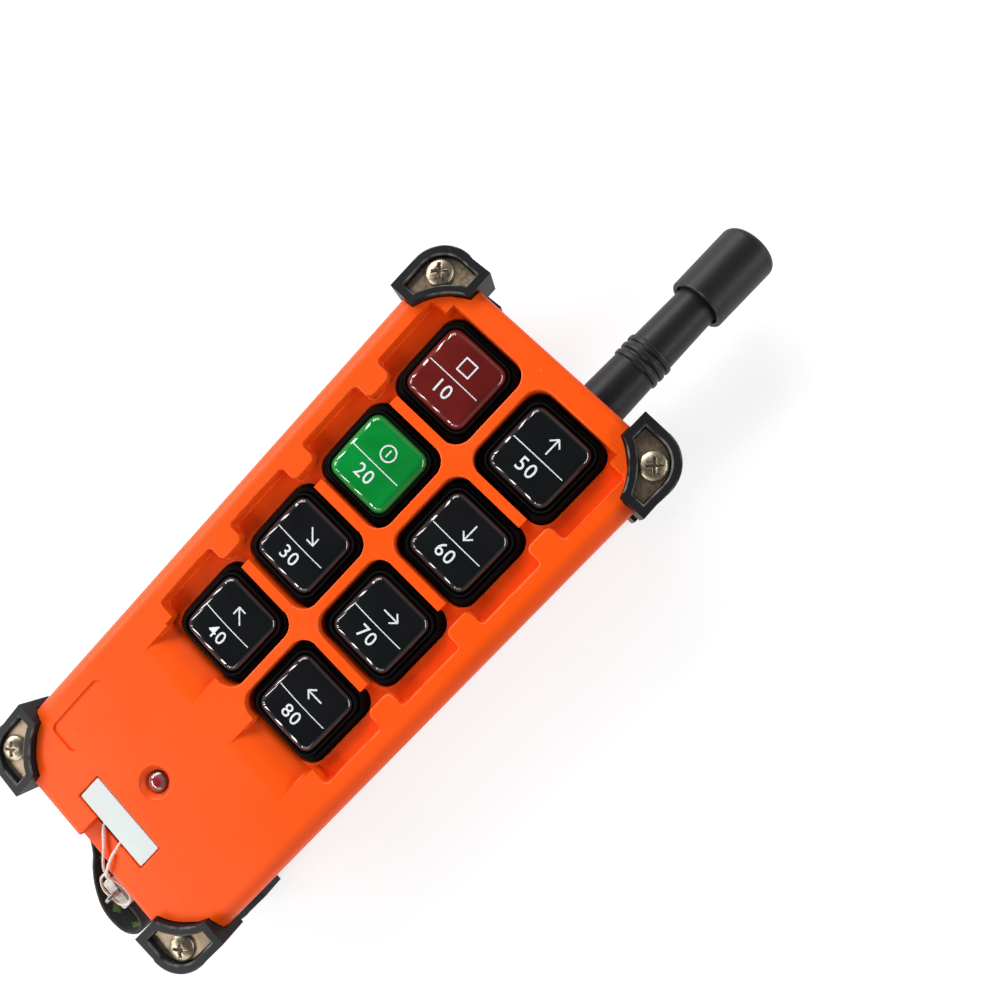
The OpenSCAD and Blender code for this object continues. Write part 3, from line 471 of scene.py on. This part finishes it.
# The lighter edge colour given to each finish is rubbing and a painted highlight on its roundings
FINISH = {
    "case": worn_plastic(
        "orange_case", base=(0.92, 0.088, 0.004), worn_and_highlit=(1.0, 0.20, 0.06), wear_and_highlight=0.4, rough=0.4,
        grain_scale=1300.0, grain_depth=0.07, mottle=0.02, dust=(1.0, 0.35, 0.2), dust_share=0.25,
        gloss=0.2, seam=(0.13, 0.006, 0.001)),
    "seal": worn_plastic(
        "seal_rubber", base=(0.03, 0.03, 0.03), worn_and_highlit=(0.1, 0.1, 0.1), wear_and_highlight=0.3, rough=0.6,
        grain_scale=1500.0, grain_depth=0.03),
    "keypad": worn_plastic(
        "keypad_rubber", base=(0.0035, 0.003, 0.0032), worn_and_highlit=(0.008, 0.007, 0.007), wear_and_highlight=0.4, rough=0.75,
        grain_scale=1800.0, grain_depth=0.02, dust_share=0.02, gloss=0.07),
    "cap_red": cap_resin(
        "cap_red", base=(0.11, 0.007, 0.006), glow=(0.14, 0.01, 0.008), side=(0.018, 0.001, 0.001)),
    "cap_green": cap_resin(
        "cap_green", base=(0.0, 0.19, 0.022), glow=(0.0, 0.24, 0.035), side=(0.0, 0.05, 0.006)),
    "cap_black": cap_resin(
        "cap_black", base=(0.0035, 0.004, 0.005), glow=(0.0055, 0.006, 0.0075),
        side=(0.0015, 0.0015, 0.0018)),
    "antenna": worn_plastic(
        "antenna_rubber", base=(0.012, 0.012, 0.014), worn_and_highlit=(0.1, 0.1, 0.1), wear_and_highlight=0.5, rough=0.46,
        grain_scale=1200.0, grain_depth=0.04, mottle=0.12, dust_share=0.06, gloss=0.3),
    "guard": worn_plastic(
        "guard_rubber", base=(0.009, 0.009, 0.010), worn_and_highlit=(0.15, 0.155, 0.15), wear_and_highlight=0.8, rough=0.46,
        grain_scale=1400.0, grain_depth=0.05, mottle=0.15, dust_share=0.06, gloss=0.25),
    "plate": plated_metal(
        "plate_nickel", base=(0.42, 0.33, 0.235), dark=(0.28, 0.205, 0.135), rough=0.4, wear_and_highlight=0.3),
    "screw": plated_metal(
        "screw_steel", base=(0.44, 0.37, 0.27), dark=(0.30, 0.235, 0.16), rough=0.34,
        depth=0.006, wear_and_highlight=0.4),
    "clip": plated_metal(
        "clip_tin", base=(0.40, 0.38, 0.35), dark=(0.26, 0.245, 0.22), rough=0.42,
        depth=0.006, wear_and_highlight=0.4),
    "tin": plated_metal(
        "shield_tin", base=(0.72, 0.72, 0.72), dark=(0.6, 0.6, 0.6), rough=0.32, streaks=(1.0, 0.1, 1.0)),
    "switch": plated_metal("switch_metal", base=(0.7, 0.7, 0.7), dark=(0.55, 0.55, 0.55), rough=0.3),
    "brass": plated_metal(
        "antenna_brass", base=(0.75, 0.52, 0.22), dark=(0.55, 0.36, 0.14), rough=0.25,
        streaks=(0.1, 1.0, 1.0)),
    "spring": plated_metal("spring_steel", base=(0.72, 0.71, 0.68), dark=(0.5, 0.49, 0.46), rough=0.28),
    "battery": worn_plastic(
        "battery_wrap", base=(0.02, 0.07, 0.25), worn_and_highlit=(0.4, 0.45, 0.5), wear_and_highlight=0.4, rough=0.22,
        grain_scale=900.0, grain_depth=0.02, coat=0.6),
    "led": worn_plastic(
        "lamp_red", base=(0.45, 0.015, 0.015), worn_and_highlit=(0.6, 0.1, 0.1), wear_and_highlight=0.2, rough=0.3,
        grain_scale=900.0, grain_depth=0.02),
    "lens": lamp_lens(),
    "label": label_film(),
    "print": print_ink(),
    "board": board_finish(),
    "string": braided_cord(),
    "band": woven_band(),
}


# Mesh helpers

# Corners this close are one, and faces this near to level, in degrees, are one flat face
WELD, FLAT_ANGLE = 0.004, 0.5
# Edges sharper than this, in degrees, are rounded, in this many steps
SHARP_ANGLE, ROUNDING_STEPS = 28, 2
ROUNDING_TRIES = 8
# A wrong face smaller than this, twice its area in square metres, doesn't show
SMALLEST_FAULT = 2e-9
# Corners of a rounding this close have closed up to a point
SAME_SPOT = 0.0005
# The rounding of both halves of the case at their seam, which makes a fine groove
SEAM_LIP, SEAM_STEPS = 0.28, 4
# The rim at the seam: its edge's least angle in degrees, and how near it is to the seam and the side
RIM_ANGLE, RIM_LEVEL, RIM_SIDE = 60, 0.02, 0.1


def add_piece(name, bm, finish, body, smooth_angle=35, stands_for=()):
    """Turns a bmesh into a piece that rides on a body."""
    mesh = bpy.data.meshes.new(name)
    bm.to_mesh(mesh)
    bm.free()
    mesh.shade_smooth()
    mesh.set_sharp_from_angle(angle=math.radians(smooth_angle))
    mesh.materials.append(FINISH[finish])
    piece = bpy.data.objects.new(name, mesh)
    scene.collection.objects.link(piece)
    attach(piece, body)
    if stands_for:
        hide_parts(*stands_for)
    return piece


def merged_solid(cad_node):
    """The CAD solid as a bmesh with its triangles merged back into flat faces."""
    bm = bmesh.new()
    bm.faces.layers.float.new("edge")
    bm.from_mesh(NODES[cad_node].data)
    bmesh.ops.remove_doubles(bm, verts=bm.verts, dist=WELD * MM)
    bmesh.ops.dissolve_limit(bm, angle_limit=math.radians(FLAT_ANGLE), verts=bm.verts, edges=bm.edges)
    bm.verts.index_update()
    return bm


def is_sharp(edge, angle):
    """True where two faces meet at more than an angle in degrees."""
    return len(edge.link_faces) == 2 and edge.calc_face_angle(0) > math.radians(angle)


def bevel_edges(bm, edges, width, steps):
    """Rounds edges by a width in millimetres, and marks the new faces as edge."""
    made = bmesh.ops.bevel(bm, geom=edges, offset=width * MM, offset_type="OFFSET", segments=steps,
                           profile=0.5, affect="EDGES", clamp_overlap=False, material=-1)
    mask = bm.faces.layers.float["edge"]
    for face in made["faces"]:
        face[mask] = 1.0


def crossed_corners(face):
    """Corners of a face at which its outline crosses itself."""
    turn = face.normal.to_track_quat("Z", "Y").to_matrix().transposed()
    flat = [(turn @ v.co).xy for v in face.verts]
    count = len(flat)
    sides = list(zip(flat, flat[1:] + flat[:1]))
    spans = sorted((min(a.x, b.x), max(a.x, b.x), i) for i, (a, b) in enumerate(sides))
    crossed = set()
    for at, (low, high, i) in enumerate(spans):
        for other_low, other_high, j in spans[at + 1:]:
            if other_low > high:
                break
            if (i - j) % count in (0, 1, count - 1):
                continue
            if intersect_line_line_2d(*sides[i], *sides[j]):
                crossed |= {face.verts[k % count] for k in (i, i + 1, j, j + 1)}
    return crossed


def faulty_corners(bm, surface, reach):
    """Corners where the rounding left the surface, crossed an outline or turned a face over."""
    bm.normal_update()
    faulty = {v for v in bm.verts if surface.find_nearest(v.co)[3] > reach}
    widest, folded = {}, {}
    for loops in bm.calc_loop_triangles():
        a, b, c = (loop.vert.co for loop in loops)
        twice_area = (b - a).cross(c - a)
        face = loops[0].face
        if twice_area.length > widest.get(face, (0.0, None))[0]:
            widest[face] = (twice_area.length, (a + b + c) / 3)
        if twice_area.dot(face.normal) < 0 and twice_area.length > SMALLEST_FAULT:
            folded.setdefault(face, set()).update(loop.vert for loop in loops)
    for face, corners in folded.items():
        faulty |= crossed_corners(face) or corners
    for face, (twice_area, middle) in widest.items():
        if twice_area > SMALLEST_FAULT and surface.find_nearest(middle)[1].dot(face.normal) < 0:
            faulty.update(face.verts)
    return faulty


def round_edges(solid, width):
    """A copy with its sharp edges rounded, except where the rounding would spoil the surface."""
    surface = BVHTree.FromBMesh(solid)
    corners = KDTree(len(solid.verts))
    for i, vert in enumerate(solid.verts):
        corners.insert(vert.co, i)
    corners.balance()
    solid.verts.ensure_lookup_table()
    # A sound rounding stays this close to the sharp solid, and a fault comes from corners this near
    reach = (0.36 * width + 0.01) * MM
    nearby = 1.5 * width * MM
    kept_sharp = set()
    for attempt in range(ROUNDING_TRIES):
        bm = solid.copy()
        bm.verts.index_update()
        edges = [e for e in bm.edges if is_sharp(e, SHARP_ANGLE)
                 and not kept_sharp.intersection(v.index for v in e.verts)]
        bevel_edges(bm, edges, width, ROUNDING_STEPS)
        faulty = {i for vert in faulty_corners(bm, surface, reach)
                  for spot, i, gap in corners.find_range(vert.co, nearby)}
        if not faulty or attempt == ROUNDING_TRIES - 1:
            break
        stuck = (solid.verts[i] for i in faulty & kept_sharp)
        around = {end.index for corner in stuck for edge in corner.link_edges for end in edge.verts}
        kept_sharp |= faulty | around
        bm.free()
    bmesh.ops.dissolve_degenerate(bm, dist=SAME_SPOT * MM, edges=bm.edges)
    return bm


def faces_outward(edge):
    """True on an outer wall of the case, and false on an inner wall or in the antenna's bore."""
    middle = (edge.verts[0].co + edge.verts[1].co) / 2 - Vector((0, CASE_MID_Y * MM, 0))
    return any(abs(face.normal.z) < 0.5 and face.normal.xy.dot(middle.xy) > 0 for face in edge.link_faces)


def relieve_seam(bm):
    """Rounds the outer rim of a case half at the seam, found by going round from the sides."""
    level = [e for e in bm.edges if is_sharp(e, RIM_ANGLE) and faces_outward(e)
             and all(abs(v.co.z - SEAM_Z * MM) < RIM_LEVEL * MM for v in e.verts)]
    reached = {v for e in level for v in e.verts if abs(v.co.x) > (CASE_W / 2 - RIM_SIDE) * MM}
    rim, fresh = set(), True
    while fresh:
        fresh = {e for e in level if e not in rim and reached.intersection(e.verts)}
        reached.update(v for e in fresh for v in e.verts)
        rim |= fresh
    bevel_edges(bm, [e for e in level if e in rim], SEAM_LIP, SEAM_STEPS)


def rounded_copy(name, cad_node, finish, width, seam=False):
    """The CAD solid with its sharp edges rounded, as a piece in the place of its node."""
    solid = merged_solid(cad_node)
    if seam:
        relieve_seam(solid)
    bm = round_edges(solid, width)
    solid.free()
    body = NODES[cad_node]["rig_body"]
    piece = add_piece(name, bm, finish, body, stands_for=(cad_node,))
    even = piece.modifiers.new("even_shading", "WEIGHTED_NORMAL")
    even.keep_sharp = True
    return piece


def circle(radius, count, x=0.0, y=0.0):
    """Corners of a circle about (x, y)."""
    turns = [2 * math.pi * i / count for i in range(count)]
    return [(x + radius * math.cos(turn), y + radius * math.sin(turn)) for turn in turns]


# Strap

STRING_D, STRING_SIDES, STRING_STEPS = 0.62, 12, 5
BAND_W, BAND_T, BAND_CORNER, BAND_STEPS = 11.0, 0.9, 0.25, 8
# Height of the band's middle over the part's lowest plane
BAND_Z = 5.8


def at_end(points):
    """Points given from the end face of the case, as (x, y, z), moved to the part's frame."""
    return [(x, y + END_Y, z) for x, y, z in points]


STRING_ROUTE = at_end([
    (-2.5, 8.8, 24.2), (-2.5, 8.5, 25.4), (-2.5, 7.4, 26), (-2.4, 6, 26), (-1.2, 4.4, 26), (0.9, 2.4, 26),
    (3.3, 0, 26.2), (4.6, -2.4, 24.8), (5.4, -5.4, 21.4), (5.2, -7.8, 18.6), (3.8, -11, 15.6),
    (3.7, -14.2, 13.9), (5.9, -15.8, 13.4), (8.5, -15.6, 13.3), (11, -15, 13.4), (12.6, -12.8, 13.8),
    (11.8, -10, 15.2), (9.4, -8.2, 17), (7.5, -6.6, 19.4), (7.1, -4.6, 22.2), (6.8, -2.2, 25.4),
    (6.2, -0.2, 27.8), (5.2, 2, 28.3), (4.2, 4, 28), (3.4, 5.8, 26.6), (3.1, 7.4, 26), (3.1, 8.5, 25.4),
    (3.1, 8.8, 24.2),
])
BAND_ROUTE = at_end([(x, y, BAND_Z) for x, y in [
    (12.2, -15.4), (15.6, -15.4), (18.2, -16.2), (18.6, -18.4), (16.2, -20.6), (12.2, -21.4), (7.8, -20.9),
    (3.4, -18.8), (0, -16.2), (-3, -13.2), (-8, -11), (-20, -10.2), (-30, -7.4), (-36, -1), (-37.2, 10),
    (-37.2, 34), (-37.2, 60), (-37.2, 68), (-37, 71.6), (-36.3, 72.9), (-35.25, 73.4), (-34.2, 72.9),
    (-33.5, 71.6), (-33.3, 68), (-33.3, 60), (-33.4, 28), (-35.2, 14.5), (-35.5, 5), (-32.4, -2.8),
    (-24, -5.6), (-12, -5.8), (-2.4, -7), (1.6, -12), (4.8, -15.4),
]])


def smooth_route(points, steps):
    """A Catmull-Rom curve through given points, ends kept."""
    last = len(points) - 1
    out = []
    for i in range(last):
        a, b, c, d = (Vector(points[min(max(near, 0), last)]) for near in range(i - 1, i + 3))
        for step in range(steps):
            t = step / steps
            out.append(0.5 * (2 * b + (c - a) * t + (2 * a - 5 * b + 4 * c - d) * t * t
                              + (3 * b - a - 3 * c + d) * t * t * t))
    out.append(Vector(points[last]))
    return out


def sweep(name, route, ring, flat, finish, stands_for):
    """A closed strip or tube along a route: ring holds (sideways, upward) offsets, sideways staying level.

    The UV map has millimetres along the route, and the height across it if flat, else one turn round it.
    """
    bm = bmesh.new()
    cloth = bm.loops.layers.uv.new("cloth")
    rows, run, far = [], [0.0], len(route) - 1
    for i, point in enumerate(route):
        heading = (route[min(i + 1, far)] - route[max(i - 1, 0)]).normalized()
        level = Vector((-heading.y, heading.x, 0))
        # An upright stretch has no sideways of its own, so it takes +X
        level = level.normalized() if level.length > 1e-6 else Vector((1, 0, 0))
        upward = heading.cross(level)
        rows.append([bm.verts.new((point + level * x + upward * y) * MM) for x, y in ring])
        if i:
            run.append(run[-1] + (route[i] - route[i - 1]).length)
    around = [0.0]
    for a, b in zip(ring, ring[1:] + ring[:1]):
        around.append(around[-1] + (Vector(b) - Vector(a)).length)
    starts = [up for sideways, up in ring] if flat else [length / around[-1] for length in around[:-1]]
    ends = starts[1:] + [starts[0] if flat else 1.0]
    for i in range(far):
        for j in range(len(ring)):
            k = (j + 1) % len(ring)
            face = bm.faces.new((rows[i][j], rows[i + 1][j], rows[i + 1][k], rows[i][k]))
            low, high = starts[j], ends[j]
            corners = ((run[i], low), (run[i + 1], low), (run[i + 1], high), (run[i], high))
            for loop, uv in zip(face.loops, corners):
                loop[cloth].uv = uv
    bm.faces.new(rows[0])
    bm.faces.new(reversed(rows[-1]))
    bmesh.ops.recalc_face_normals(bm, faces=bm.faces)
    return add_piece(name, bm, finish, "case", smooth_angle=50, stands_for=stands_for)


def make_strap():
    """The string through the case, the clip it hangs and the band folded away round the case."""
    string_line = smooth_route(STRING_ROUTE, STRING_STEPS)
    string = sweep("strap_string_braid", string_line, circle(STRING_D / 2, STRING_SIDES), False,
                   "string", ("strap_string",))
    band_line = smooth_route(BAND_ROUTE, BAND_STEPS)
    x, y, c = BAND_T / 2, BAND_W / 2, BAND_CORNER
    half_ring = [(x, -y + c), (x, -y / 2), (x, 0), (x, y / 2), (x, y - c), (x - c, y), (c - x, y)]
    flat_ring = half_ring + [(-side, -up) for side, up in half_ring]
    band = sweep("strap_band_webbing", band_line, flat_ring, True, "band", ("strap_band",))
    clip = rounded_copy("strap_clip_folded", "strap_clip", "clip", width=0.25)


make_strap()


# Case, keypad, guards and antenna

rounded_copy("front_case_moulding", "front_case", "case", width=0.3, seam=True)
rounded_copy("rear_case_moulding", "rear_case", "case", width=0.3, seam=True)
rounded_copy("battery_door", "battery_cover", "case", width=0.25)
rounded_copy("keypad_skirts", "keypad_mat", "keypad", width=0.25)
for corner in ("top_left", "top_right", "low_left", "low_right"):
    for side in ("front", "rear"):
        rounded_copy(f"{side}_guard_{corner}", f"guard_{side}_{corner}", "guard", width=0.35)
for side in ("front", "rear"):
    rounded_copy(f"{side}_plates", f"{side}_guard_plates", "plate", width=0.12)
    rounded_copy(f"{side}_screws", f"{side}_guard_screws", "screw", width=0.12)
rounded_copy("back_screws", "case_screws", "screw", width=0.1)
rounded_copy("antenna_ribbed_sleeve", "antenna_sleeve", "antenna", width=0.2)
rounded_copy("antenna_tube", "antenna_shaft", "antenna", width=0.15)
rounded_copy("antenna_end_cap", "antenna_cap", "antenna", width=0.3)
rounded_copy("label_strip", "label_plate", "label", width=0.1)


# Caps

CAP_LOWEST, CAP_HIGHEST = box_mm("cap_stop")
CAP_W = CAP_HIGHEST[0] - CAP_LOWEST[0]
CAP_LOW, CAP_TOP = CAP_LOWEST[2], CAP_HIGHEST[2]
# Radii of the cap's corners and of its crown, and the width of its shoulder
CORNER_R, CROWN_R, SHOULDER = 2.6, 62.0, 1.9
CORNER_STEPS, SHOULDER_STEPS = 8, 6
# Cuts through the cap on each side of its middle, which let its faces follow the crown
CROWN_CUTS, CUT_PITCH = 4, 1.5
# Two heights closer than this are the same
LEVEL_GAP = 0.01


def set_on_key(bm, key):
    """Moves a shape made about the origin to its key, and turns its millimetres into metres."""
    low, high = box_mm(f"cap_{key}")
    bmesh.ops.translate(bm, vec=((low[0] + high[0]) / 2, (low[1] + high[1]) / 2, 0), verts=bm.verts)
    bmesh.ops.scale(bm, vec=(MM, MM, MM), verts=bm.verts)


def dome_z(x, y):
    """Height of the crown at a place from the cap's middle."""
    return CAP_TOP - CROWN_R + math.sqrt(CROWN_R * CROWN_R - x * x - y * y)


def make_cap(key, finish):
    """A rounded square with a soft shoulder and a crowned top."""
    bm = bmesh.new()
    bmesh.ops.create_cube(bm, size=1.0)
    height = CAP_TOP - CAP_LOW
    bmesh.ops.scale(bm, vec=(CAP_W, CAP_W, height), verts=bm.verts)
    bmesh.ops.translate(bm, vec=(0, 0, CAP_LOW + height / 2), verts=bm.verts)
    upright = [e for e in bm.edges if abs(e.verts[0].co.z - e.verts[1].co.z) > height / 2]
    bmesh.ops.bevel(bm, geom=upright, offset=CORNER_R, segments=CORNER_STEPS, profile=0.5,
                    affect="EDGES", material=-1)
    rim = [e for e in bm.edges if all(v.co.z > CAP_TOP - LEVEL_GAP for v in e.verts)]
    bmesh.ops.bevel(bm, geom=rim, offset=SHOULDER, segments=SHOULDER_STEPS, profile=0.5,
                    affect="EDGES", material=-1)
    for axis in ((1, 0, 0), (0, 1, 0)):
        for cut in range(-CROWN_CUTS, CROWN_CUTS + 1):
            bmesh.ops.bisect_plane(bm, geom=bm.verts[:] + bm.edges[:] + bm.faces[:], dist=0.001,
                                   plane_co=Vector(axis) * cut * CUT_PITCH, plane_no=axis)
    flank = bm.verts.layers.float.new("flank")
    for v in bm.verts:
        v[flank] = min(1.0, (CAP_TOP - v.co.z) / SHOULDER)
        if v.co.z > CAP_LOW + LEVEL_GAP:
            v.co.z += dome_z(v.co.x, v.co.y) - CAP_TOP
    set_on_key(bm, key)
    add_piece(f"dome_{key}", bm, finish, f"key_{key}", smooth_angle=40,
              stands_for=(f"cap_{key}",))


# Print on the caps, placed from the cap's middle

PRINT_LIFT = 0.03
# The thin line between sign and number
RULE_LEFT, RULE_RIGHT, RULE_Y, RULE_WIDTH = -6.6, 6.4, -0.35, 0.22
SIGN_X, SIGN_Y, SIGN_WIDTH = 0.6, 3.1, 0.34
NUMBER_X, NUMBER_Y, NUMBER_SIZE = -0.4, -4.7, 4.3
SQUARE_HALF, RING_R, RING_CORNERS, BAR_HALF = 1.5, 1.7, 24, 0.8
ARROW_HALF, HEAD_LENGTH, HEAD_HALF = 1.9, 1.3, 1.25
SLANT = math.sqrt(0.5)
ARROW_WAYS = {
    "up": (0, 1), "down": (0, -1), "east": (1, 0), "west": (-1, 0),
    "south": (SLANT, -SLANT), "north": (-SLANT, SLANT),
}


def stroke(bm, points, width, closed=False):
    """A printed line of one width, as flat bars with a cut every millimetre to follow the crown."""
    following = points[1:] + points[:1] if closed else points[1:]
    for (x0, y0), (x1, y1) in zip(points, following):
        run = math.hypot(x1 - x0, y1 - y0)
        made = bmesh.ops.create_grid(bm, x_segments=max(1, round(run)), y_segments=1, size=0.5)
        bmesh.ops.scale(bm, vec=(run + width * 0.5, width, 1), verts=made["verts"])
        turn = Matrix.Rotation(math.atan2(y1 - y0, x1 - x0), 3, "Z")
        bmesh.ops.rotate(bm, cent=(0, 0, 0), matrix=turn, verts=made["verts"])
        bmesh.ops.translate(bm, vec=((x0 + x1) / 2, (y0 + y1) / 2, 0), verts=made["verts"])


def number_mesh(bm, text):
    """Digits from the built-in face, made a mesh and set under the thin line."""
    words = bpy.data.curves.new("number", "FONT")
    words.body = text
    words.size = NUMBER_SIZE
    words.align_x = "CENTER"
    words.offset = 0.02
    words.space_character = 1.1
    words.resolution_u = 3
    holder = bpy.data.objects.new("number", words)
    scene.collection.objects.link(holder)
    bpy.context.view_layer.update()
    mesh = bpy.data.meshes.new_from_object(holder.evaluated_get(bpy.context.evaluated_depsgraph_get()))
    before = set(bm.verts)
    bm.from_mesh(mesh)
    added = [v for v in bm.verts if v not in before]
    bmesh.ops.translate(bm, vec=(NUMBER_X, NUMBER_Y, 0), verts=added)
    bpy.data.objects.remove(holder)
    bpy.data.meshes.remove(mesh)
    bpy.data.curves.remove(words)


def arrow(x, y, way):
    """Shaft and head of an arrow about (x, y), pointing along way."""
    wx, wy = way
    tip = (x + wx * ARROW_HALF, y + wy * ARROW_HALF)
    tail = (x - wx * ARROW_HALF, y - wy * ARROW_HALF)
    back = (tip[0] - wx * HEAD_LENGTH, tip[1] - wy * HEAD_LENGTH)
    left = (back[0] - wy * HEAD_HALF, back[1] + wx * HEAD_HALF)
    right = (back[0] + wy * HEAD_HALF, back[1] - wx * HEAD_HALF)
    return [[tail, tip], [left, tip], [right, tip]]


def sign_lines(key, x, y):
    """Generic signs, as (points, closed): a square to stop, a ring and bar to start, arrows to move."""
    if key == "stop":
        low, high = -SQUARE_HALF, SQUARE_HALF
        corners = ((low, low), (high, low), (high, high), (low, high))
        return [([(x + across, y + up) for across, up in corners], True)]
    if key == "start":
        bar = [(x, y - BAR_HALF), (x, y + BAR_HALF)]
        return [(circle(RING_R, RING_CORNERS, x, y), True), (bar, False)]
    return [(line, False) for line in arrow(x, y, ARROW_WAYS[key])]


def make_print(key):
    """White sign and number of one key, lying on its crown."""
    bm = bmesh.new()
    stroke(bm, [(RULE_LEFT, RULE_Y), (RULE_RIGHT, RULE_Y)], RULE_WIDTH)
    for points, closed in sign_lines(key, SIGN_X, SIGN_Y):
        stroke(bm, points, SIGN_WIDTH, closed)
    number_mesh(bm, KEYS[key])
    for v in bm.verts:
        v.co.z = dome_z(v.co.x, v.co.y) + PRINT_LIFT
    set_on_key(bm, key)
    bm.normal_update()
    bmesh.ops.reverse_faces(bm, faces=[f for f in bm.faces if f.normal.z < 0])
    add_piece(f"print_{key}", bm, "print", f"key_{key}", smooth_angle=40)


for key in KEYS:
    make_cap(key, {"stop": "cap_red", "start": "cap_green"}.get(key, "cap_black"))
    make_print(key)
    rounded_copy(f"rubber_{key}", f"key_{key}", "keypad", width=0.3)


# What stays as the CAD has it

KEPT = {
    "case_seal": "seal", "circuit_board": "board", "key_switches": "switch", "board_screws": "screw",
    "radio_module": "tin", "status_led": "led", "led_lens": "lens", "strap_bar": "screw",
    "antenna_core": "brass", "battery_upper": "battery", "battery_lower": "battery",
    "battery_springs": "spring", "battery_contacts": "spring",
}
for cad_node, finish in KEPT.items():
    mesh = NODES[cad_node].data
    mesh.materials.clear()
    mesh.materials.append(FINISH[finish])


# Floor and light, in metres and watts

FLOOR_HALF = 2.0
# The point that every lamp faces
LIT_POINT = Vector((0.0, 0.0, 0.02))


def make_floor():
    """A pale floor that the camera, mirrors and glass see as white."""
    bm = bmesh.new()
    bmesh.ops.create_grid(bm, x_segments=1, y_segments=1, size=FLOOR_HALF)
    mesh = bpy.data.meshes.new("floor")
    bm.to_mesh(mesh)
    bm.free()
    finish, tree, shader, place = new_finish("pale_floor")
    path = tree.nodes.new("ShaderNodeLightPath").outputs
    mirrored = maths(tree, "MAXIMUM", path["Is Glossy Ray"], path["Is Transmission Ray"])
    reach = node(tree, "ShaderNodeVectorMath", {0: place}, operation="LENGTH").outputs["Value"]
    white = spread(tree, reach, 0.25, 0.8, 0.68, 1.0)
    seen = maths(tree, "MAXIMUM", mirrored, path["Is Camera Ray"])
    feed(tree, shader, {
        "Emission Color": (1.0, 1.0, 1.0),
        "Emission Strength": maths(tree, "MULTIPLY", seen, white),
        "Base Color": (0.42, 0.43, 0.44),
        "Roughness": 0.9,
        "Specular IOR Level": 0.1,
    })
    mesh.materials.append(finish)
    floor = bpy.data.objects.new("floor", mesh)
    scene.collection.objects.link(floor)


def make_world():
    """A pale studio: white low down, where the background shows, and a dim ceiling."""
    world = bpy.data.worlds.new("studio")
    scene.world = world
    world.use_nodes = True
    tree = world.node_tree
    path = tree.nodes.new("ShaderNodeLightPath").outputs
    way = tree.nodes.new("ShaderNodeTexCoord").outputs["Generated"]
    rise = node(tree, "ShaderNodeSeparateXYZ", {0: way}).outputs["Z"]
    ceiling = spread(tree, rise, 0.3, 0.75, 1.0, 0.14)
    mirrored = maths(tree, "MAXIMUM", path["Is Glossy Ray"], path["Is Transmission Ray"])
    level = maths(tree, "MULTIPLY", ceiling, spread(tree, mirrored, 0.0, 1.0, 0.68, 0.6))
    feed(tree, tree.nodes["Background"], {
        "Color": (1.0, 1.0, 1.0),
        "Strength": maths(tree, "MAXIMUM", level, path["Is Camera Ray"]),
    })


def soft_light(name, spot, size, power):
    """A rectangular lamp that faces the part."""
    lamp = bpy.data.lights.new(name, "AREA")
    lamp.shape = "RECTANGLE"
    lamp.size, lamp.size_y = size
    lamp.energy = power
    holder = bpy.data.objects.new(name, lamp)
    scene.collection.objects.link(holder)
    turn = (Vector(spot) - LIT_POINT).to_track_quat("Z", "Y").to_matrix().to_4x4()
    holder.matrix_world = Matrix.Translation(spot) @ turn


def lamp_row(name, first, last, count, size, power):
    """A row of narrow upright lamps, which the key caps show as a broken line."""
    for i in range(count):
        soft_light(f"{name}_{i}", Vector(first).lerp(Vector(last), i / (count - 1)), size, power)


make_floor()
make_world()
soft_light("left_box", spot=(-0.75, 0.45, 0.5), size=(0.4, 0.4), power=3.0)
soft_light("low_box", spot=(0.45, -0.75, 0.5), size=(0.5, 0.3), power=1.2)
soft_light("right_box", spot=(0.6, 0.55, 0.45), size=(0.8, 0.09), power=3.2)
lamp_row("left_lamp", first=(-0.7, -0.5, 0.42), last=(-0.7, 0.25, 0.42), count=8,
         size=(0.035, 0.32), power=0.7)
lamp_row("low_lamp", first=(-0.42, -0.66, 0.42), last=(0.12, -0.7, 0.42), count=6,
         size=(0.035, 0.2), power=0.5)
